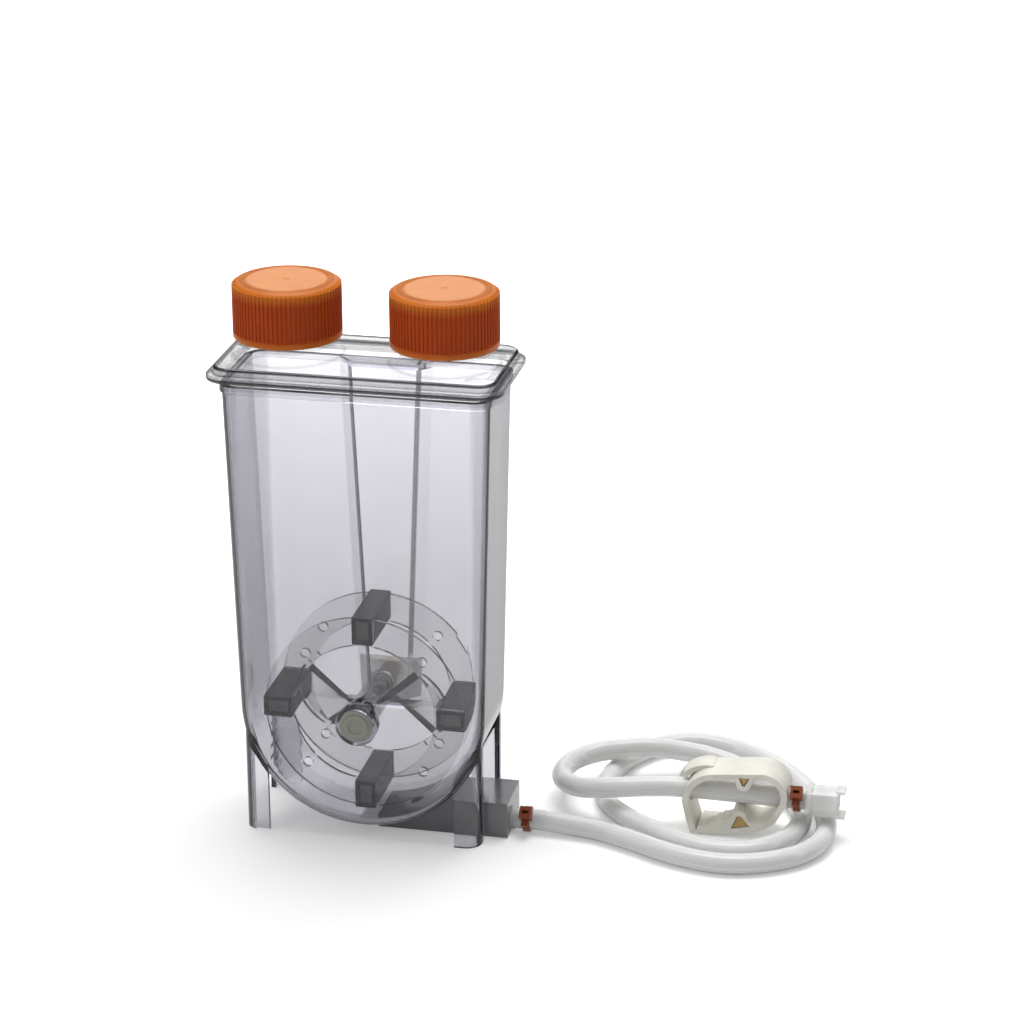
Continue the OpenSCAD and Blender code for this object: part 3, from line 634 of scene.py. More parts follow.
def tub_finish(colours):
    """Clear tinted plastic of the tub: tinted through its thickness, with painted shade where it is
    seen edge on.

    Painted shade darkens the side walls, turns them nearly black where grazed, and does the same to
    the round corners that the UV map marks.
    """
    f = Finish("Clear tinted polycarbonate")
    f.set(Transmission_Weight=1.0, IOR=1.52, Specular_IOR_Level=0.3)
    flow, facing = f.noise(28, 2, (1, 1, 0.35), 0.4), f.facing()
    x, y, z = f.parts(f.place)
    body = f.ramp(flow, ((0.35, (0.965, 0.965, 0.97)), (0.65, (0.99, 0.99, 0.99))))
    # Painted shade: darker side walls, darker still where seen edge on, nearly black on grazed side
    # walls and marked corners
    side_wall_shade = f.grown(f.number("ABSOLUTE", x), *SIDE_WALL)
    colour = f.mixed(side_wall_shade, body, (0.72, 0.72, 0.74))
    colour = f.mixed(f.grown(facing, 0.55, 1.0), colour, (0.45, 0.45, 0.4725))
    grazed_wall_shade = f.product(f.grown(facing, 0.55, 0.88), side_wall_shade)
    colour = f.mixed(grazed_wall_shade, colour, (0.03, 0.03, 0.032))
    corner = f.product(f.grown(facing, 0.22, 0.42), f.parts(f.own_uv)[0])
    colour = f.mixed(corner, colour, (0.01, 0.01, 0.012))

    # Painted dark line of shade along the rear channel's right edge, where the thick corner bends
    # light
    lean = f.product(f.number("SUBTRACT", z, CHANNEL_Z), CHANNEL_LEAN)
    off = f.number("SUBTRACT", f.number("SUBTRACT", x, CHANNEL_X), lean)
    channel_edge_shade = f.product(f.between(f.number("ABSOLUTE", off), 0.95, 0.0, 0.0003, 0.0008),
                             f.grown(y, 0.0165, 0.0172), f.grown(z, 0.058, 0.062))
    colour = f.mixed(channel_edge_shade, colour, (0.02, 0.02, 0.022))

    # Lamps shine through with a tint, as through thin plastic, and the solid darkens light
    clear = f.add("ShaderNodeBsdfTransparent", Color=(0.88, 0.88, 0.90)).outputs["BSDF"]
    lamp = f.number("MAXIMUM", f.ray("Shadow"), f.ray("Diffuse"))
    f.link(f.mix_shader(lamp, f.shader.outputs["BSDF"], clear), f.output.inputs["Surface"])
    solid = f.add("ShaderNodeVolumeAbsorption", Color=colours.vessel, Density=330.0)
    f.link(solid.outputs["Volume"], f.output.inputs["Volume"])
    return f.done(colour, f.between(f.noise(900, 2), 0.015, 0.05), f.bump(flow, 0.00006, 0.6))


def sheet_finish(name, pale, dark, cover_low, cover_high, vanes=None):
    """Thin clear sheet: faint on its broad faces, with painted shade along the edges that its UV
    map marks.

    Vanes hold the wheel's axis, its ring's inner radius and half its depth: their ends get painted
    shade.
    """
    f = Finish(name)
    f.set(IOR=1.5, Specular_IOR_Level=0.5)
    flow = f.noise(70, 2)
    edge = f.parts(f.own_uv)[0]
    if vanes:
        axis, ring_in, half = vanes
        x, y, z = f.parts(f.operate("ShaderNodeVectorMath", "SUBTRACT", f.place, axis)[0])
        radius = f.number("SQRT", f.number("ADD", f.number("POWER", x, 2.0),
                                           f.number("POWER", z, 2.0)))
        inside_ring = f.between(radius, 1.0, 0.0, ring_in - 0.0001, ring_in)
        outside_hub = f.grown(radius, 0.0066, 0.0070)
        shaded_vane_end = f.grown(f.number("ABSOLUTE", y), half - 0.0009, half - 0.0006)
        edge = f.number("MAXIMUM", edge, f.product(inside_ring, outside_hub, shaded_vane_end))
    broad_cover = f.between(f.facing(), cover_low, cover_high, 0.1, 0.95)
    f.set(Alpha=f.between(edge, broad_cover, 0.96, 0.0, 1.0))
    # Marked edges take the dark colour as painted shade
    colour = f.mixed(edge, f.two_tone(flow, pale, 0.9, 1.1), dark)
    return f.done(colour, f.between(f.noise(900, 2), 0.05, 0.12), f.bump(flow, 0.00005, 0.5))


def cap_finish(colours, low, high):
    """Satin polypropylene, painted by height: deep orange as painted shade down the ribs, paler
    painted light at the foot and the edge, a painted dark band at the foot of the serrations, a
    light top.
    """
    f = Finish("Orange satin polypropylene")
    f.set(IOR=1.49, Specular_IOR_Level=0.22)
    cloud, grain = f.noise(160, 3), f.noise(2600, 2)
    deep, painted_glow = colours.cap, colours.cap_edge
    half_painted_glow = tuple((a + b) / 2 for a, b in zip(deep, painted_glow))
    height = f.grown(f.parts(f.place)[2], low, high)
    # Painted light and shade by height, with painted shade between the serrations' feet
    body = f.ramp(height, ((0.0, painted_glow), (0.08, half_painted_glow), (0.13, deep), (0.74, deep), (0.84, half_painted_glow),
                           (0.92, painted_glow), (0.985, shade(painted_glow, 0.8)), (0.992, colours.cap_top)))
    colour = f.mixed(f.between(cloud, 0.0, 0.12, 0.4, 0.7), body, shade(deep, 0.6))
    return f.done(colour, f.between(grain, 0.3, 0.42),
                  f.bump(grain, 0.00003, 0.5, f.bump(cloud, 0.00006, 0.3)))


def silicone_finish(colours):
    """Milky silicone: painted highlight streaks along its length, and painted light and shade
    across
    its width by how squarely it is seen: a lighter line inside the edge where the bore's wall would
    shine through, and a darker edge.
    """
    f = Finish("Milky silicone")
    f.set(IOR=1.41, Specular_IOR_Level=0.45, Subsurface_Weight=0.75, Subsurface_Scale=0.006,
          Subsurface_Radius=(1.0, 1.0, 0.95))
    cloud = f.noise(45, 3)
    streaks = f.noise(1.0, 2.0, (14.0, 9.0, 1.0), source=f.own_uv)
    # Painted light and shade by how squarely the hose is seen: lighter bands and a darker edge
    painted_bands = ((0.0, 0.88), (0.12, 0.86), (0.17, 1.04), (0.24, 0.86), (0.42, 0.90), (0.52, 1.05),
             (0.6, 0.86), (0.85, 0.84), (1.0, 0.6))
    wall = f.ramp(f.facing(), [(at, shade(colours.silicone, tone)) for at, tone in painted_bands])
    # The pale streaks are painted highlights
    pale = f.mixed(f.between(streaks, 0.0, 0.6, 0.45, 0.7), wall, (0.97, 0.97, 0.96))
    colour = f.mixed(f.between(cloud, 0.0, 0.35, 0.5, 0.8), pale, shade(colours.silicone, 0.93))
    return f.done(colour, f.between(f.noise(1500, 2), 0.16, 0.24),
                  f.bump(streaks, 0.00012, 0.4, f.bump(cloud, 0.00008, 0.3)))


def solid_plastic(name, colour, rough=(0.35, 0.5), grain_scale=1800):
    """Opaque moulded plastic with a light grain and a slightly uneven colour."""
    f = Finish(name)
    f.set(IOR=1.5)
    cloud, fine = f.noise(120, 3), f.noise(grain_scale, 2)
    return f.done(f.two_tone(cloud, colour, 0.94, 1.06), f.between(fine, *rough),
                  f.bump(fine, 0.00003, 0.5, f.bump(cloud, 0.00006, 0.3)))


def smoke_finish(colours):
    """Dark smoke-grey plastic, mottled with flow lines along the block."""
    f = Finish("Smoke block plastic")
    f.set(IOR=1.5, Specular_IOR_Level=0.18)
    cloud, fine = f.noise(230, 4, (1, 0.45, 1), 0.6), f.noise(1400, 2)
    return f.mottled(f.two_tone(cloud, colours.smoke, 0.3, 1.9, 0.40, 0.62), cloud, fine,
                     (0.28, 0.42), (0.00015, 0.5), (0.00003, 0.4))


def port_finish(colours):
    """Cloudy smoke-grey plastic of the port block, smooth outside."""
    f = Finish("Smoke port plastic")
    f.set(IOR=1.5, Specular_IOR_Level=0.5)
    cloud, fine = f.noise(60, 3, (0.5, 1, 1), 0.5), f.noise(1100, 2)
    return f.mottled(f.two_tone(cloud, colours.port, 0.8, 1.2, 0.3, 0.7), cloud, fine,
                     (0.12, 0.22))


def cloudy_finish(name, colour, cover):
    """Cloudy natural plastic that lets light in, with painted shade where it is seen edge on."""
    f = Finish(name)
    f.set(IOR=1.49, Specular_IOR_Level=0.5, Subsurface_Weight=0.5, Subsurface_Scale=0.004,
          Subsurface_Radius=(1.0, 1.0, 0.95), Alpha=cover)
    cloud, fine = f.noise(150, 3), f.noise(1300, 2)
    # Painted shade: darker where the surface is seen edge on
    edge = f.between(f.facing(), 0.0, 0.7, 0.6, 1.0)
    tinted = f.mixed(edge, f.two_tone(cloud, colour, 0.94, 1.05), shade(colour, 0.55))
    return f.mottled(tinted, cloud, fine, (0.15, 0.28))


def metal_finish(name, colour):
    """Ground magnet metal, brushed along its length."""
    f = Finish(name)
    f.set(Metallic=1.0)
    brushed = f.noise(700, 3, (1, 0.06, 1))
    return f.done(f.two_tone(brushed, colour, 0.8, 1.15), f.between(brushed, 0.3, 0.5),
                  f.bump(brushed, 0.00002, 0.5))


# ---- Stage ----

def backdrop_share(tree, place, margin, dark):
    """Brightness of the surroundings: white behind the object, dark to the sides."""
    azimuth = math.radians(CAMERA_AZIMUTH)
    aside, ahead = (tree.operate("ShaderNodeVectorMath", "DOT_PRODUCT", place, way)["Value"]
                    for way in ((math.cos(azimuth), math.sin(azimuth), 0.0),
                                (-math.sin(azimuth), math.cos(azimuth), 0.0)))
    aside = tree.number("SUBTRACT", tree.number("ABSOLUTE", aside), margin)
    slant = tree.number("DIVIDE", aside, tree.number("MAXIMUM", ahead, 0.05))
    share = tree.between(slant, 1.0, dark, 0.08, 0.3)
    share.node.interpolation_type = "SMOOTHSTEP"
    return share


def seen_share(tree, share):
    """1 for the camera's rays and those through clear plastic, a share for those off a gloss."""
    straight = tree.number("MAXIMUM", tree.ray("Camera"), tree.ray("Transmission"))
    return tree.number("MAXIMUM", straight, tree.product(tree.ray("Glossy"), share))


class BIOREACTOR_OT_camera(bpy.types.Operator):
    """Places the camera in front of the vessel, a little to its right and above it"""

    bl_idname = "bioreactor.camera"
    bl_label = "Camera"

    def execute(self, context):
        azimuth, elevation = math.radians(CAMERA_AZIMUTH), math.radians(CAMERA_ELEVATION)
        back = Vector((math.sin(azimuth) * math.cos(elevation),
                       -math.cos(azimuth) * math.cos(elevation), math.sin(elevation)))
        data = bpy.data.cameras.new("Camera")
        data.sensor_width = CAMERA_SENSOR
        data.lens = CAMERA_LENS
        data.clip_start = 0.05
        camera = bpy.data.objects.new("Camera", data)
        context.scene.collection.objects.link(camera)
        roll = Matrix.Rotation(math.radians(CAMERA_ROLL), 4, "Z")
        turn = back.to_track_quat("Z", "Y").to_matrix().to_4x4() @ roll
        place = Vector(CAMERA_TARGET) + back * CAMERA_DISTANCE
        camera.matrix_world = Matrix.Translation(place) @ turn
        context.scene.camera = camera
        return {"FINISHED"}


class BIOREACTOR_OT_stage(bpy.types.Operator):
    """Makes the pale floor, the soft lamps and the white surroundings"""

    bl_idname = "bioreactor.stage"
    bl_label = "Stage"

    def execute(self, context):
        floor = self.floor(settings()[1])
        self.lamp("Overhead softbox", (0.0, 0.25, 1.5), (0.05, 0.0, 0.05), (1.2, 0.9), 20.0)
        rear = self.lamp("Rear softbox", (0.25, 1.5, 0.75), (0.05, 0.0, 0.1), (1.4, 0.5), 7.0)
        rear.visible_glossy = False
        self.lamp("Front left softbox", (-1.1, -1.0, 0.9), (0.05, 0.0, 0.08), (0.8, 1.0), 4.0)
        self.surroundings(context.scene)
        context.scene.view_settings.view_transform = "Standard"
        return {"FINISHED"}

    def floor(self, colours):
        """Pale floor, which glows more the further it is from the object."""
        f = Finish("Pale floor")
        seen = seen_share(f, backdrop_share(f, f.place, 0.062, 0.06))
        far = f.operate("ShaderNodeVectorMath", "LENGTH", f.place)["Value"]
        f.set(Roughness=0.9, Specular_IOR_Level=0.1, Emission_Color=WHITE,
              Base_Color=f.two_tone(f.noise(6, 2), colours.floor, 0.995, 1.005),
              Emission_Strength=f.product(seen, f.between(far, 0.27, 1.0, 0.22, 0.6)))
        shell = Shell()
        half_size, corner, just_below_the_feet = 3000, 400, -0.05
        shell.end(shell.level(rounded_box(half_size, half_size, corner, 6), just_below_the_feet))
        floor = shell.piece("floor")
        floor.data.materials.append(f.material)
        return floor

    def lamp(self, name, place, aim, size, power):
        """Soft box of a size in metres and a power in watts, aimed at a point."""
        data = bpy.data.lights.new(name, "AREA")
        data.shape = "RECTANGLE"
        data.size, data.size_y = size
        data.energy = power
        lamp = bpy.data.objects.new(name, data)
        lamp.location = place
        lamp.visible_camera = False
        lamp.rotation_euler = (Vector(place) - Vector(aim)).to_track_quat("Z", "Y").to_euler()
        bpy.context.scene.collection.objects.link(lamp)
        return lamp

    def surroundings(self, scene):
        """White surroundings, which light the object much less than they show."""
        world = scene.world = bpy.data.worlds.new("White surroundings")
        world.use_nodes = True
        tree = Tree(world.node_tree)
        direction = tree.add("ShaderNodeTexCoord").outputs["Generated"]
        seen = seen_share(tree, backdrop_share(tree, direction, 0.0, 0.08))
        shown, light = (tree.add("ShaderNodeBackground", Color=WHITE, Strength=strength).outputs[0]
                        for strength in (seen, 0.29))
        tree.add("ShaderNodeOutputWorld",
                 Surface=tree.mix_shader(tree.ray("Diffuse"), shown, light))


# ---- Drain hose ----

def hose_line(per_span=6):
    """Points of a smooth curve through the hose's route."""
    points = [Vector(p) for p in HOSE_ROUTE]
    made = []
    row = [2 * points[0] - points[1], *points, 2 * points[-1] - points[-2]]
    for p0, p1, p2, p3 in zip(row, row[1:], row[2:], row[3:]):
        for k in range(per_span):
            t = k / per_span
            made.append((2 * p1 + (p2 - p0) * t + (2 * p0 - 5 * p1 + 4 * p2 - p3) * t * t
                         + (3 * p1 - p0 - 3 * p2 + p3) * t * t * t) / 2)
    made.append(points[-1])
    return made


def line_length(line):
    """Length of a row of points."""
    return sum((b - a).length for a, b in zip(line, line[1:]))


class BIOREACTOR_OT_hose(bpy.types.Operator):
    """Makes the milky drain hose, a tube with an open bore that lies in two loops"""

    bl_idname = "bioreactor.hose"
    bl_label = "Drain hose"

    def execute(self, context):
        sizes, colours = settings()
        line = hose_line()
        total, gone, sides = line_length(line), 0.0, 28
        turns = [2 * math.pi * k / sides - math.pi / 2 for k in range(sides)]
        shell = Shell()
        outside, inside = [], []
        for i, point in enumerate(line):
            if i:
                gone += (point - line[i - 1]).length
            along = (line[min(i + 1, len(line) - 1)] - line[max(i - 1, 0)]).normalized()
            side = Vector((0, 0, 1)).cross(along).normalized()
            up = along.cross(side)
            stretch = BARB_STRETCH if min(gone, total - gone) < BARB_LENGTH else 0.0
            for rings, r in ((outside, HOSE_OUTER_R), (inside, sizes.hose_bore / 2 + stretch)):
                rings.append(shell.ring([in_mm(point + r * (math.cos(a) * side + math.sin(a) * up))
                                         for a in turns]))
                shell.layout.update((n, (k / sides, gone)) for k, n in enumerate(rings[-1]))
        shell.stack(outside)
        shell.stack(inside)
        for end in (0, -1):
            shell.skin(outside[end], inside[end])
        hose = shell.piece("drain_hose", sharp=50)
        finish_piece(hose, "vessel", "hose_tube", silicone_finish(colours), "hose")
        return {"FINISHED"}


# ---- Geometry Nodes ----

def geometry_tree(name, **inputs):
    """Geometry Nodes tree with inputs listed by their kind, and the sockets that give them."""
    group = bpy.data.node_groups.new(name, "GeometryNodeTree")
    for kind, labels in (("Geometry", ["Geometry"]), *inputs.items()):
        for label in labels:
            group.interface.new_socket(label, in_out="INPUT", socket_type="NodeSocket" + kind)
    group.interface.new_socket("Geometry", in_out="OUTPUT", socket_type="NodeSocketGeometry")
    tree = Tree(group)
    return tree, tree.add("NodeGroupInput").outputs


def joined(tree, *parts):
    """Shapes joined into one."""
    node = tree.add("GeometryNodeJoinGeometry")
    for part in parts:
        tree.link(part, node.inputs[0])
    return node.outputs[0]


def moved(tree, shape, by):
    """A shape moved by a vector."""
    return tree.add("GeometryNodeTransform", Geometry=shape, Translation=by).outputs[0]


def ridge(tree, curve, radius, sides):
    """Smooth closed ridge of a round section along a curve."""
    section = tree.add("GeometryNodeCurvePrimitiveCircle", Resolution=sides, Radius=radius)
    body = tree.add("GeometryNodeCurveToMesh", Curve=curve, Fill_Caps=True,
                    Profile_Curve=section.outputs["Curve"])
    return tree.add("GeometryNodeSetShadeSmooth", Geometry=body.outputs["Mesh"]).outputs[0]


def ended(tree, given, material, *parts):
    """Ends a tree with new parts and the given piece, made real and of one material."""
    real = tree.add("GeometryNodeRealizeInstances",
                    Geometry=joined(tree, *parts, given["Geometry"]))
    painted = tree.add("GeometryNodeSetMaterial", Geometry=real.outputs[0], Material=material)
    tree.link(painted.outputs[0], tree.add("NodeGroupOutput").inputs[0])
    return tree.tree


def run_tree(piece, group, values):
    """Runs a Geometry Nodes tree with values for its inputs and keeps the plain result."""
    modifier = piece.modifiers.new(group.name, "NODES")
    modifier.node_group = group
    for item in group.interface.items_tree:
        if item.in_out == "INPUT" and item.name in values:
            modifier[item.identifier] = values[item.name]
    piece.data.update()
    return plain_mesh(piece)


def neck_threads(material):
    """Node tree that winds a rounded thread round both necks."""
    tree, given = geometry_tree("Neck threads", Float=(
        "Neck radius", "Pitch", "Depth", "Start", "Turns", "Spread"))
    radius, turns = given["Neck radius"], given["Turns"]
    spiral = tree.add("GeometryNodeCurveSpiral", Resolution=64, Rotations=turns,
                      Start_Radius=radius, End_Radius=radius,
                      Height=tree.product(given["Pitch"], turns))
    thread = ridge(tree, spiral.outputs["Curve"], given["Depth"], 10)
    threads = [moved(tree, thread, tree.vector(tree.product(given["Spread"], side), 0,
                                               given["Start"])) for side in (-1, 1)]
    return ended(tree, given, material, joined(tree, *threads))


def cap_ridges(material):
    """Node tree that puts grip ribs round a cap and fine radial ridges on its top edge."""
    tree, given = geometry_tree("Cap ribs and serrations", Int=("Ribs", "Serrations"), Float=(
        "Root radius", "Rib depth", "Rib low end", "Rib high end", "Top", "Edge",
        "Groove radius"), Vector=("Middle",))

    def around(shape, count):
        """Repeats a shape round the cap's axis."""
        points = tree.add("GeometryNodePoints", Count=count).outputs[0]
        index = tree.add("GeometryNodeInputIndex").outputs[0]
        turn = tree.number("DIVIDE", tree.product(index, 2 * math.pi), count)
        return tree.add("GeometryNodeInstanceOnPoints", Points=points, Instance=shape,
                        Rotation=tree.vector(0, 0, turn)).outputs["Instances"]

    root, depth, top = given["Root radius"], given["Rib depth"], given["Top"]
    upright = tree.add("GeometryNodeCurvePrimitiveLine",
                       Start=tree.vector(root, 0, given["Rib low end"]),
                       End=tree.vector(root, 0, given["Rib high end"])).outputs["Curve"]
    low = tree.number("SUBTRACT", top, tree.number("ADD", given["Edge"], 0.0006))
    high = tree.number("SUBTRACT", top, 0.00025)
    over_edge = tree.add("GeometryNodeCurveQuadraticBezier", Resolution=6,
                         Start=tree.vector(root, 0, low), Middle=tree.vector(root, 0, high),
                         End=tree.vector(given["Groove radius"], 0, high)).outputs["Curve"]
    ribs = around(ridge(tree, upright, depth, 8), given["Ribs"])
    fine = around(ridge(tree, over_edge, tree.product(depth, 0.44), 8), given["Serrations"])
    return ended(tree, given, material, moved(tree, joined(tree, ribs, fine), given["Middle"]))


# ---- Vessel ----

class BIOREACTOR_OT_vessel(bpy.types.Operator):
    """Makes the clear tub, the lid and the drain's port block"""

    bl_idname = "bioreactor.vessel"
    bl_label = "Vessel"

    def execute(self, context):
        sizes, colours = settings()
        tub = keep_flat(copy_of("vessel_tub", "tub"), area=5e-5)
        rim = tub.copy()
        rim.data = tub.data.copy()
        rim.name = rim.data.name = "tub_rim"
        context.scene.collection.objects.link(rim)
        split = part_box("lid")[0][2] - RIM_DROP
        # Marks for painted shade: the tub's round corners, and the rim's narrow edge faces
        mark_corners(cut_level(tub, split, keep_top=False), reach=CORNER_REACH)
        mark_lines(cut_level(rim, split, keep_top=True), width=0.00045)
        # The dark colour is painted shade along the lid's and rim's marked edges
        lid_clear = sheet_finish("Clear lid polycarbonate", (0.34, 0.33, 0.37),
                                 (0.012, 0.012, 0.015), cover_low=0.09, cover_high=0.16)
        finish_piece(tub, "vessel", "clear_body", tub_finish(colours), "vessel_tub")
        finish_piece(rim, "vessel", "clear_body", lid_clear, "vessel_tub")
        finish_piece(self.lid(sizes, lid_clear), "vessel", "clear_lid", lid_clear, "lid")
        stand_in("port_block", "drain_port_block", "smoke_port", port_finish(colours), 0.0003)
        return {"FINISHED"}

    def lid(self, sizes, material):
        """Lid with its stepped flange, raised plateau, two gate marks, two threaded necks and
        painted dark lines of shade along its edges.
        """
        low, high = node_box("lid")
        half_w, half_d, foot_z, mouth_z = high[0], high[1], low[2], high[2]
        wall, edge = sizes.wall / MM, sizes.plateau_edge / MM
        flange_z, plateau_z = foot_z + 2.2, foot_z + 5.1
        corner_r, step, brim = 9.6, 2.5, 7.0
        shell = Shell()
        side = rounded([(brim, foot_z), (0, foot_z), (0, flange_z), (step, flange_z),
                        (step + 0.15, plateau_z), (step + 3, plateau_z)],
                       [0, 0.35, 0.7, 0.5, edge, 0], 6, closed=False)
        # Painted dark lines of shade along the edges: where each runs, how dark it is and how wide
        lines = (((0.1, foot_z + 0.1), 0.8, 0.42), ((0.2, flange_z - 0.2), 0.5, 0.42),
                 ((step, flange_z + 0.1), 0.7, 0.42), ((step + 0.5, plateau_z - 0.4), 1.0, 0.75))
        outer = []
        for i, z in side[:-1]:
            share = max(dark * min(1.0, max(0.0, 1.7 - math.dist((i, z), place) / width))
                        for place, dark, width in lines)
            # The flange's rising step gets painted shade as well
            if flange_z + 0.3 < z < plateau_z - 0.3:
                share = max(share, 0.4)
            outline = rounded_box(half_w - i, half_d - i, corner_r - i)
            outer.append(shell.shaded_level(outline, z, share))
        roof_z, inner_r = plateau_z - wall, 4.2
        hollow = rounded([(0, foot_z), (0, roof_z), (2, roof_z)], [0, 1.0, 0], closed=False)
        inner = [shell.level(rounded_box(half_w - brim - i, half_d - brim - i, inner_r - i), z)
                 for i, z in hollow[:-1]]
        shell.stack(outer)
        shell.stack(inner)
        shell.skin(outer[0], inner[0])

        cone_r, neck_r, bore_r = 20.8, 17.3, 15.3
        outline = rounded([(24.0, plateau_z), (cone_r, plateau_z), (neck_r, plateau_z + 4.4),
                           (neck_r, mouth_z), (bore_r, mouth_z), (bore_r, plateau_z + 3.4),
                           (19.6, roof_z), (21.5, roof_z)],
                          [0, 5.0, 3.0, 0.5, 0.5, 3.0, 2.4, 0], 7, closed=False)
        neck_places = [node_round(f"cap_{cap}")[0][0] for cap in ("left", "right")]
        tops, bottoms = [], []
        for x in neck_places:
            rings = []
            for r, z in outline:
                # Painted dark lines of shade at the foot of each cone and round each neck
                outside = z >= plateau_z and r > neck_r - 0.1
                foot_shade_line, neck_shade_line = 0.3 - abs(r - cone_r) * 0.3, 0.4 - abs(r - neck_r) * 0.8
                share = max(0.0, foot_shade_line, neck_shade_line) if outside else 0.0
                rings.append(shell.shaded_level(circle(x, 0, r), z, share))
            shell.stack(rings)
            tops.append(rings[0])
            bottoms.append(rings[-1])
        for x in (0.0, half_w - 11.5):
            gate = [shell.level(circle(x, 8.1 - half_d, r, 40), plateau_z + z)
                    for r, z in ((3.2, 0.0), (3.15, 0.22), (3.0, 0.3))]
            shell.stack(gate)
            shell.end(gate[-1])
            tops.append(gate[0])
        shell.fill(outer[-1], tops)
        shell.fill(inner[-1], bottoms)
        return run_tree(shell.piece("lid_moulding"), neck_threads(material), {
            "Neck radius": (neck_r - 0.15) * MM, "Pitch": sizes.thread_pitch,
            "Depth": sizes.thread_depth, "Start": (mouth_z - 12.5) * MM, "Turns": 1.75,
            "Spread": neck_places[-1] * MM})


# ---- Screw caps ----

class BIOREACTOR_OT_caps(bpy.types.Operator):
    """Makes the two ribbed screw caps and their liners"""

    bl_idname = "bioreactor.caps"
    bl_label = "Screw caps"

    def execute(self, context):
        sizes, colours = settings()
        low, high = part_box("cap_left")
        orange = cap_finish(colours, low[2], high[2])
        foam = solid_plastic("White liner foam", (0.84, 0.84, 0.82), (0.6, 0.8), grain_scale=2400)
        tree = cap_ridges(orange)
        for side in ("left", "right"):
            cap = self.cap(side, sizes, tree)
            finish_piece(cap, f"{side}_cap", "orange_cap", orange, f"cap_{side}")
            disc = self.liner(side)
            finish_piece(disc, f"{side}_liner", "liner", foam, f"cap_liner_{side}")
        return {"FINISHED"}

    def cap(self, side, sizes, tree):
        """Cap with a foot band, grip ribs, a serrated edge, a grooved top and a gate point."""
        foot, radius, height = node_round(f"cap_{side}")
        liner_foot, liner_r, liner_height = node_round(f"cap_liner_{side}")
        slip = 0.05
        bore_r, roof = liner_r + slip, liner_foot[2] + liner_height + slip - foot[2]
        band, edge = sizes.cap_band / MM, sizes.cap_edge / MM
        root, groove = radius - sizes.rib_depth / MM, radius * 0.735
        rim, top, dent = height - 0.34, height - 0.04, height - 0.2
        outline = [(bore_r, 0.0), (radius, 0.0), (radius, band), (root, band + 0.5), (root, rim),
                   (groove + 0.5, rim), (groove + 0.3, top), (groove, height - 0.26),
                   (groove - 0.3, top), (1.3, top), (1.15, dent), (0.9, dent), (0.7, top),
                   (0.0, top), (0.0, roof), (bore_r, roof)]
        radii = [0.3, 0.35, 0.5, 0.2, edge, 0.05, 0.1, 0.1, 0.1,
                 0.05, 0.05, 0.05, 0.05, 0, 0, 0.4]
        cap = turned(f"ribbed_cap_{side}", rounded(outline, radii, 5), foot, steps=150)
        cap_top = foot[2] + height
        return run_tree(cap, tree, {
            "Ribs": sizes.rib_count, "Serrations": sizes.serrations, "Root radius": root * MM,
            "Rib depth": sizes.rib_depth, "Rib low end": (foot[2] + band - 0.2) * MM,
            "Rib high end": (cap_top - edge * 0.75) * MM, "Top": cap_top * MM,
            "Edge": sizes.cap_edge, "Groove radius": (groove + 0.5) * MM,
            "Middle": (foot[0] * MM, foot[1] * MM, 0.0)})

    def liner(self, side):
        """Foam disc inside a cap."""
        foot, radius, height = node_round(f"cap_liner_{side}")
        outline = [(0, 0), (radius, 0), (radius, height), (0, height)]
        return turned(f"liner_disc_{side}", rounded(outline, [0, 0.25, 0.25, 0], 3), foot)


# ---- Mixing wheel and axle ----

class BIOREACTOR_OT_wheel(bpy.types.Operator):
    """Makes the two clear wheel halves, the smoke blocks, their magnets and the hub's bushes"""

    bl_idname = "bioreactor.wheel"
    bl_label = "Mixing wheel"

    def execute(self, context):
        colours = settings()[1]
        low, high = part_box("wheel_front_half")
        axis = ((low[0] + high[0]) / 2, high[1], (low[2] + high[2]) / 2)
        ring_width, vane_set_back = 0.0113, 0.0011
        vanes = (axis, (high[0] - low[0]) / 2 - ring_width, high[1] - low[1] - vane_set_back)
        # The dark colour is painted shade along the wheel's edges and vane ends
        clear = sheet_finish("Clear wheel polycarbonate", (0.08, 0.077, 0.09),
                             (0.008, 0.008, 0.010), cover_low=0.10, cover_high=0.18, vanes=vanes)
        smoke = smoke_finish(colours)
        magnet = metal_finish("Nickel magnet", (0.12, 0.11, 0.115))
        bush = solid_plastic("Bush plastic", (0.50, 0.50, 0.46))
        for half in ("front", "rear"):
            piece = copy_of(f"wheel_{half}_half", f"wheel_{half}_moulding", sharp=25, level=False)
            mark_edges(piece, deep=0.0032, axis=axis, hub_r=0.0065)
            finish_piece(piece, "wheel", "clear_wheel", clear, f"wheel_{half}_half")
            paint(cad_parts[f"hub_bush_{half}"], bush)
        for place in ("top", "right", "bottom", "left"):
            block = self.framed(copy_of(f"block_{place}", f"smoke_block_{place}"))
            finish_piece(soften(block, 0.0002), "wheel", "smoke_block", smoke, f"block_{place}")
            paint(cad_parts[f"magnet_{place}"], magnet)
        return {"FINISHED"}

    def framed(self, block):
        """Sinks a panel into each end of a block, which leaves a narrow frame round it."""
        frame_width, slope, depth = 0.0016, 0.0004, 0.0009
        with reworked(block.data) as work:
            ends = [f for f in work.faces if abs(f.normal.y) > 0.99 and f.calc_area() > 4e-5]
            bmesh.ops.inset_individual(work, faces=ends, thickness=frame_width, depth=0.0)
            bmesh.ops.inset_individual(work, faces=ends, thickness=slope, depth=-depth)
        return block


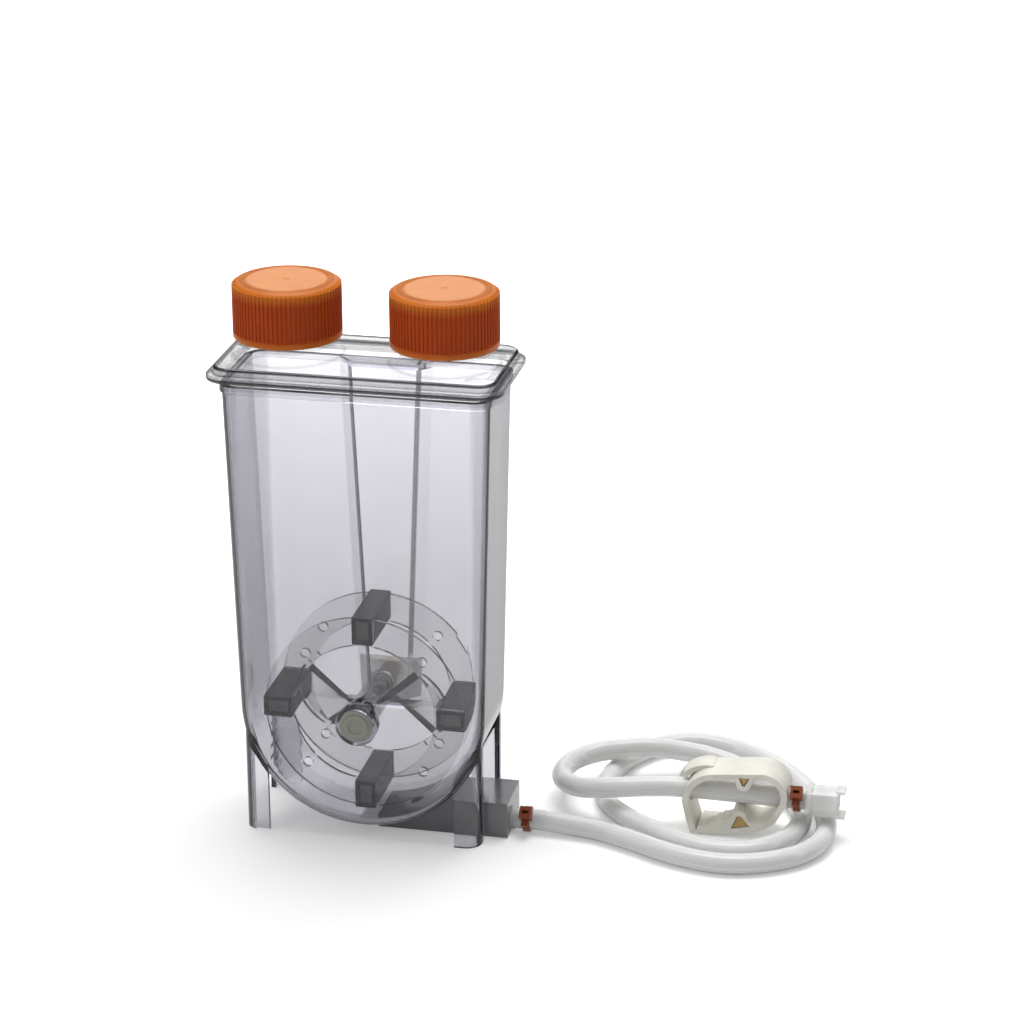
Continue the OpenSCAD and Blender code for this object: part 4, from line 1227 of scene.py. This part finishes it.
class BIOREACTOR_OT_axle(bpy.types.Operator):
    """Makes the axle's front plug, rear pin and cream bearing carrier"""

    bl_idname = "bioreactor.axle"
    bl_label = "Axle"

    def execute(self, context):
        colours = settings()[1]
        plug = solid_plastic("Grey-green plug", colours.plug, (0.3, 0.42))
        pin = cloudy_finish("Grey-green rear pin", colours.pin, 0.62)
        cream = cloudy_finish("Cream carrier", colours.cream, 0.4)
        stand_in("front_axle_plug", "axle_plug", "plug_grey", plug, 0.0003)
        stand_in("rear_axle_pin", "axle_pin", "pin_dark", pin, 0.0003)
        stand_in("rear_bearing_carrier", "bearing_carrier", "cream", cream, 0.0003)
        return {"FINISHED"}


# ---- What is on the hose ----

class BIOREACTOR_OT_fittings(bpy.types.Operator):
    """Makes the barb, cable ties, pinch clamp and end connector"""

    bl_idname = "bioreactor.fittings"
    bl_label = "Hose fittings"

    def execute(self, context):
        colours = settings()[1]
        fitting = cloudy_finish("Cloudy fitting plastic", (0.86, 0.87, 0.85), 0.72)
        tie = solid_plastic("Orange-brown nylon", colours.tie, (0.28, 0.4))
        ivory = solid_plastic("Ivory acetal", colours.clamp, (0.38, 0.5))
        seal = solid_plastic("Cloudy seal", (0.80, 0.80, 0.78))
        # Amber painted shade and bounced light for the clamp's jaw pockets
        tan = solid_plastic("Amber jaw filling", colours.tan, (0.3, 0.42))
        barb = stand_in("hose_barb", "barb", "clear_fitting", fitting)
        connector = stand_in("end_connector", "connector_shell", "clear_fitting", fitting)
        clamp = stand_in("pinch_clamp", "clamp_strap", "ivory", ivory, 0.0004, 3)
        pocket_shade = finish_piece(self.jaw_pocket_shade(), "vessel", "ivory", tan)
        on_hose = [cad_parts[node] for node in
                   ("inlet_cable_tie", "outlet_cable_tie", "connector_seal")]
        for solid, material in zip(on_hose, (tie, tie, seal)):
            paint(solid, material)
        return {"FINISHED"}

    def jaw_pocket_shade(self):
        """Amber sheets of painted shade and bounced light, a little way inside the clamp's two
        blind jaw pockets.
        """
        front = node_box("pinch_clamp")[0][1]
        shell = Shell()
        for outline in ([(140.9, 25.2), (142.3, 22.1), (142.7, 22.1), (144.3, 25.2)],
                        [(138.4, 3.9), (144.7, 5.3), (141.8, 9.0), (140.4, 9.0)]):
            rings = [shell.ring([(x, front + y, z) for x, z in outline]) for y in (0.7, 2.0)]
            shell.stack(rings)
            shell.end(rings[0])
            shell.end(rings[1])
        return shell.piece("jaw_pocket_shade")


# ---- Add-on ----

class BIOREACTOR_PT_sidebar(bpy.types.Panel):
    """Lists the pieces and their sizes"""

    bl_label = "Bench bioreactor"
    bl_idname = "BIOREACTOR_PT_sidebar"
    bl_space_type = "VIEW_3D"
    bl_region_type = "UI"
    bl_category = "Bioreactor"

    def draw(self, context):
        for operator in OPERATORS:
            self.layout.operator(operator.bl_idname)
        for group in settings():
            box = self.layout.box()
            for name in group.bl_rna.properties.keys():
                if name not in ("rna_type", "name"):
                    box.prop(group, name)


OPERATORS = (BIOREACTOR_OT_camera, BIOREACTOR_OT_hose, BIOREACTOR_OT_stage, BIOREACTOR_OT_vessel,
             BIOREACTOR_OT_caps, BIOREACTOR_OT_wheel, BIOREACTOR_OT_axle, BIOREACTOR_OT_fittings)
CLASSES = (BioreactorSizes, BioreactorColours, *OPERATORS, BIOREACTOR_PT_sidebar)


def register():
    for cls in CLASSES:
        bpy.utils.register_class(cls)
    bpy.types.Scene.bioreactor_sizes = PointerProperty(type=BioreactorSizes)
    bpy.types.Scene.bioreactor_colours = PointerProperty(type=BioreactorColours)


def unregister():
    del bpy.types.Scene.bioreactor_colours
    del bpy.types.Scene.bioreactor_sizes
    for cls in reversed(CLASSES):
        bpy.utils.unregister_class(cls)


def main():
    """Builds everything in order."""
    register()
    make = bpy.ops.bioreactor
    make.camera()
    make.hose()
    make.stage()
    make.vessel()
    make.caps()
    make.wheel()
    make.axle()
    make.fittings()


if __name__ == "__main__":
    main()
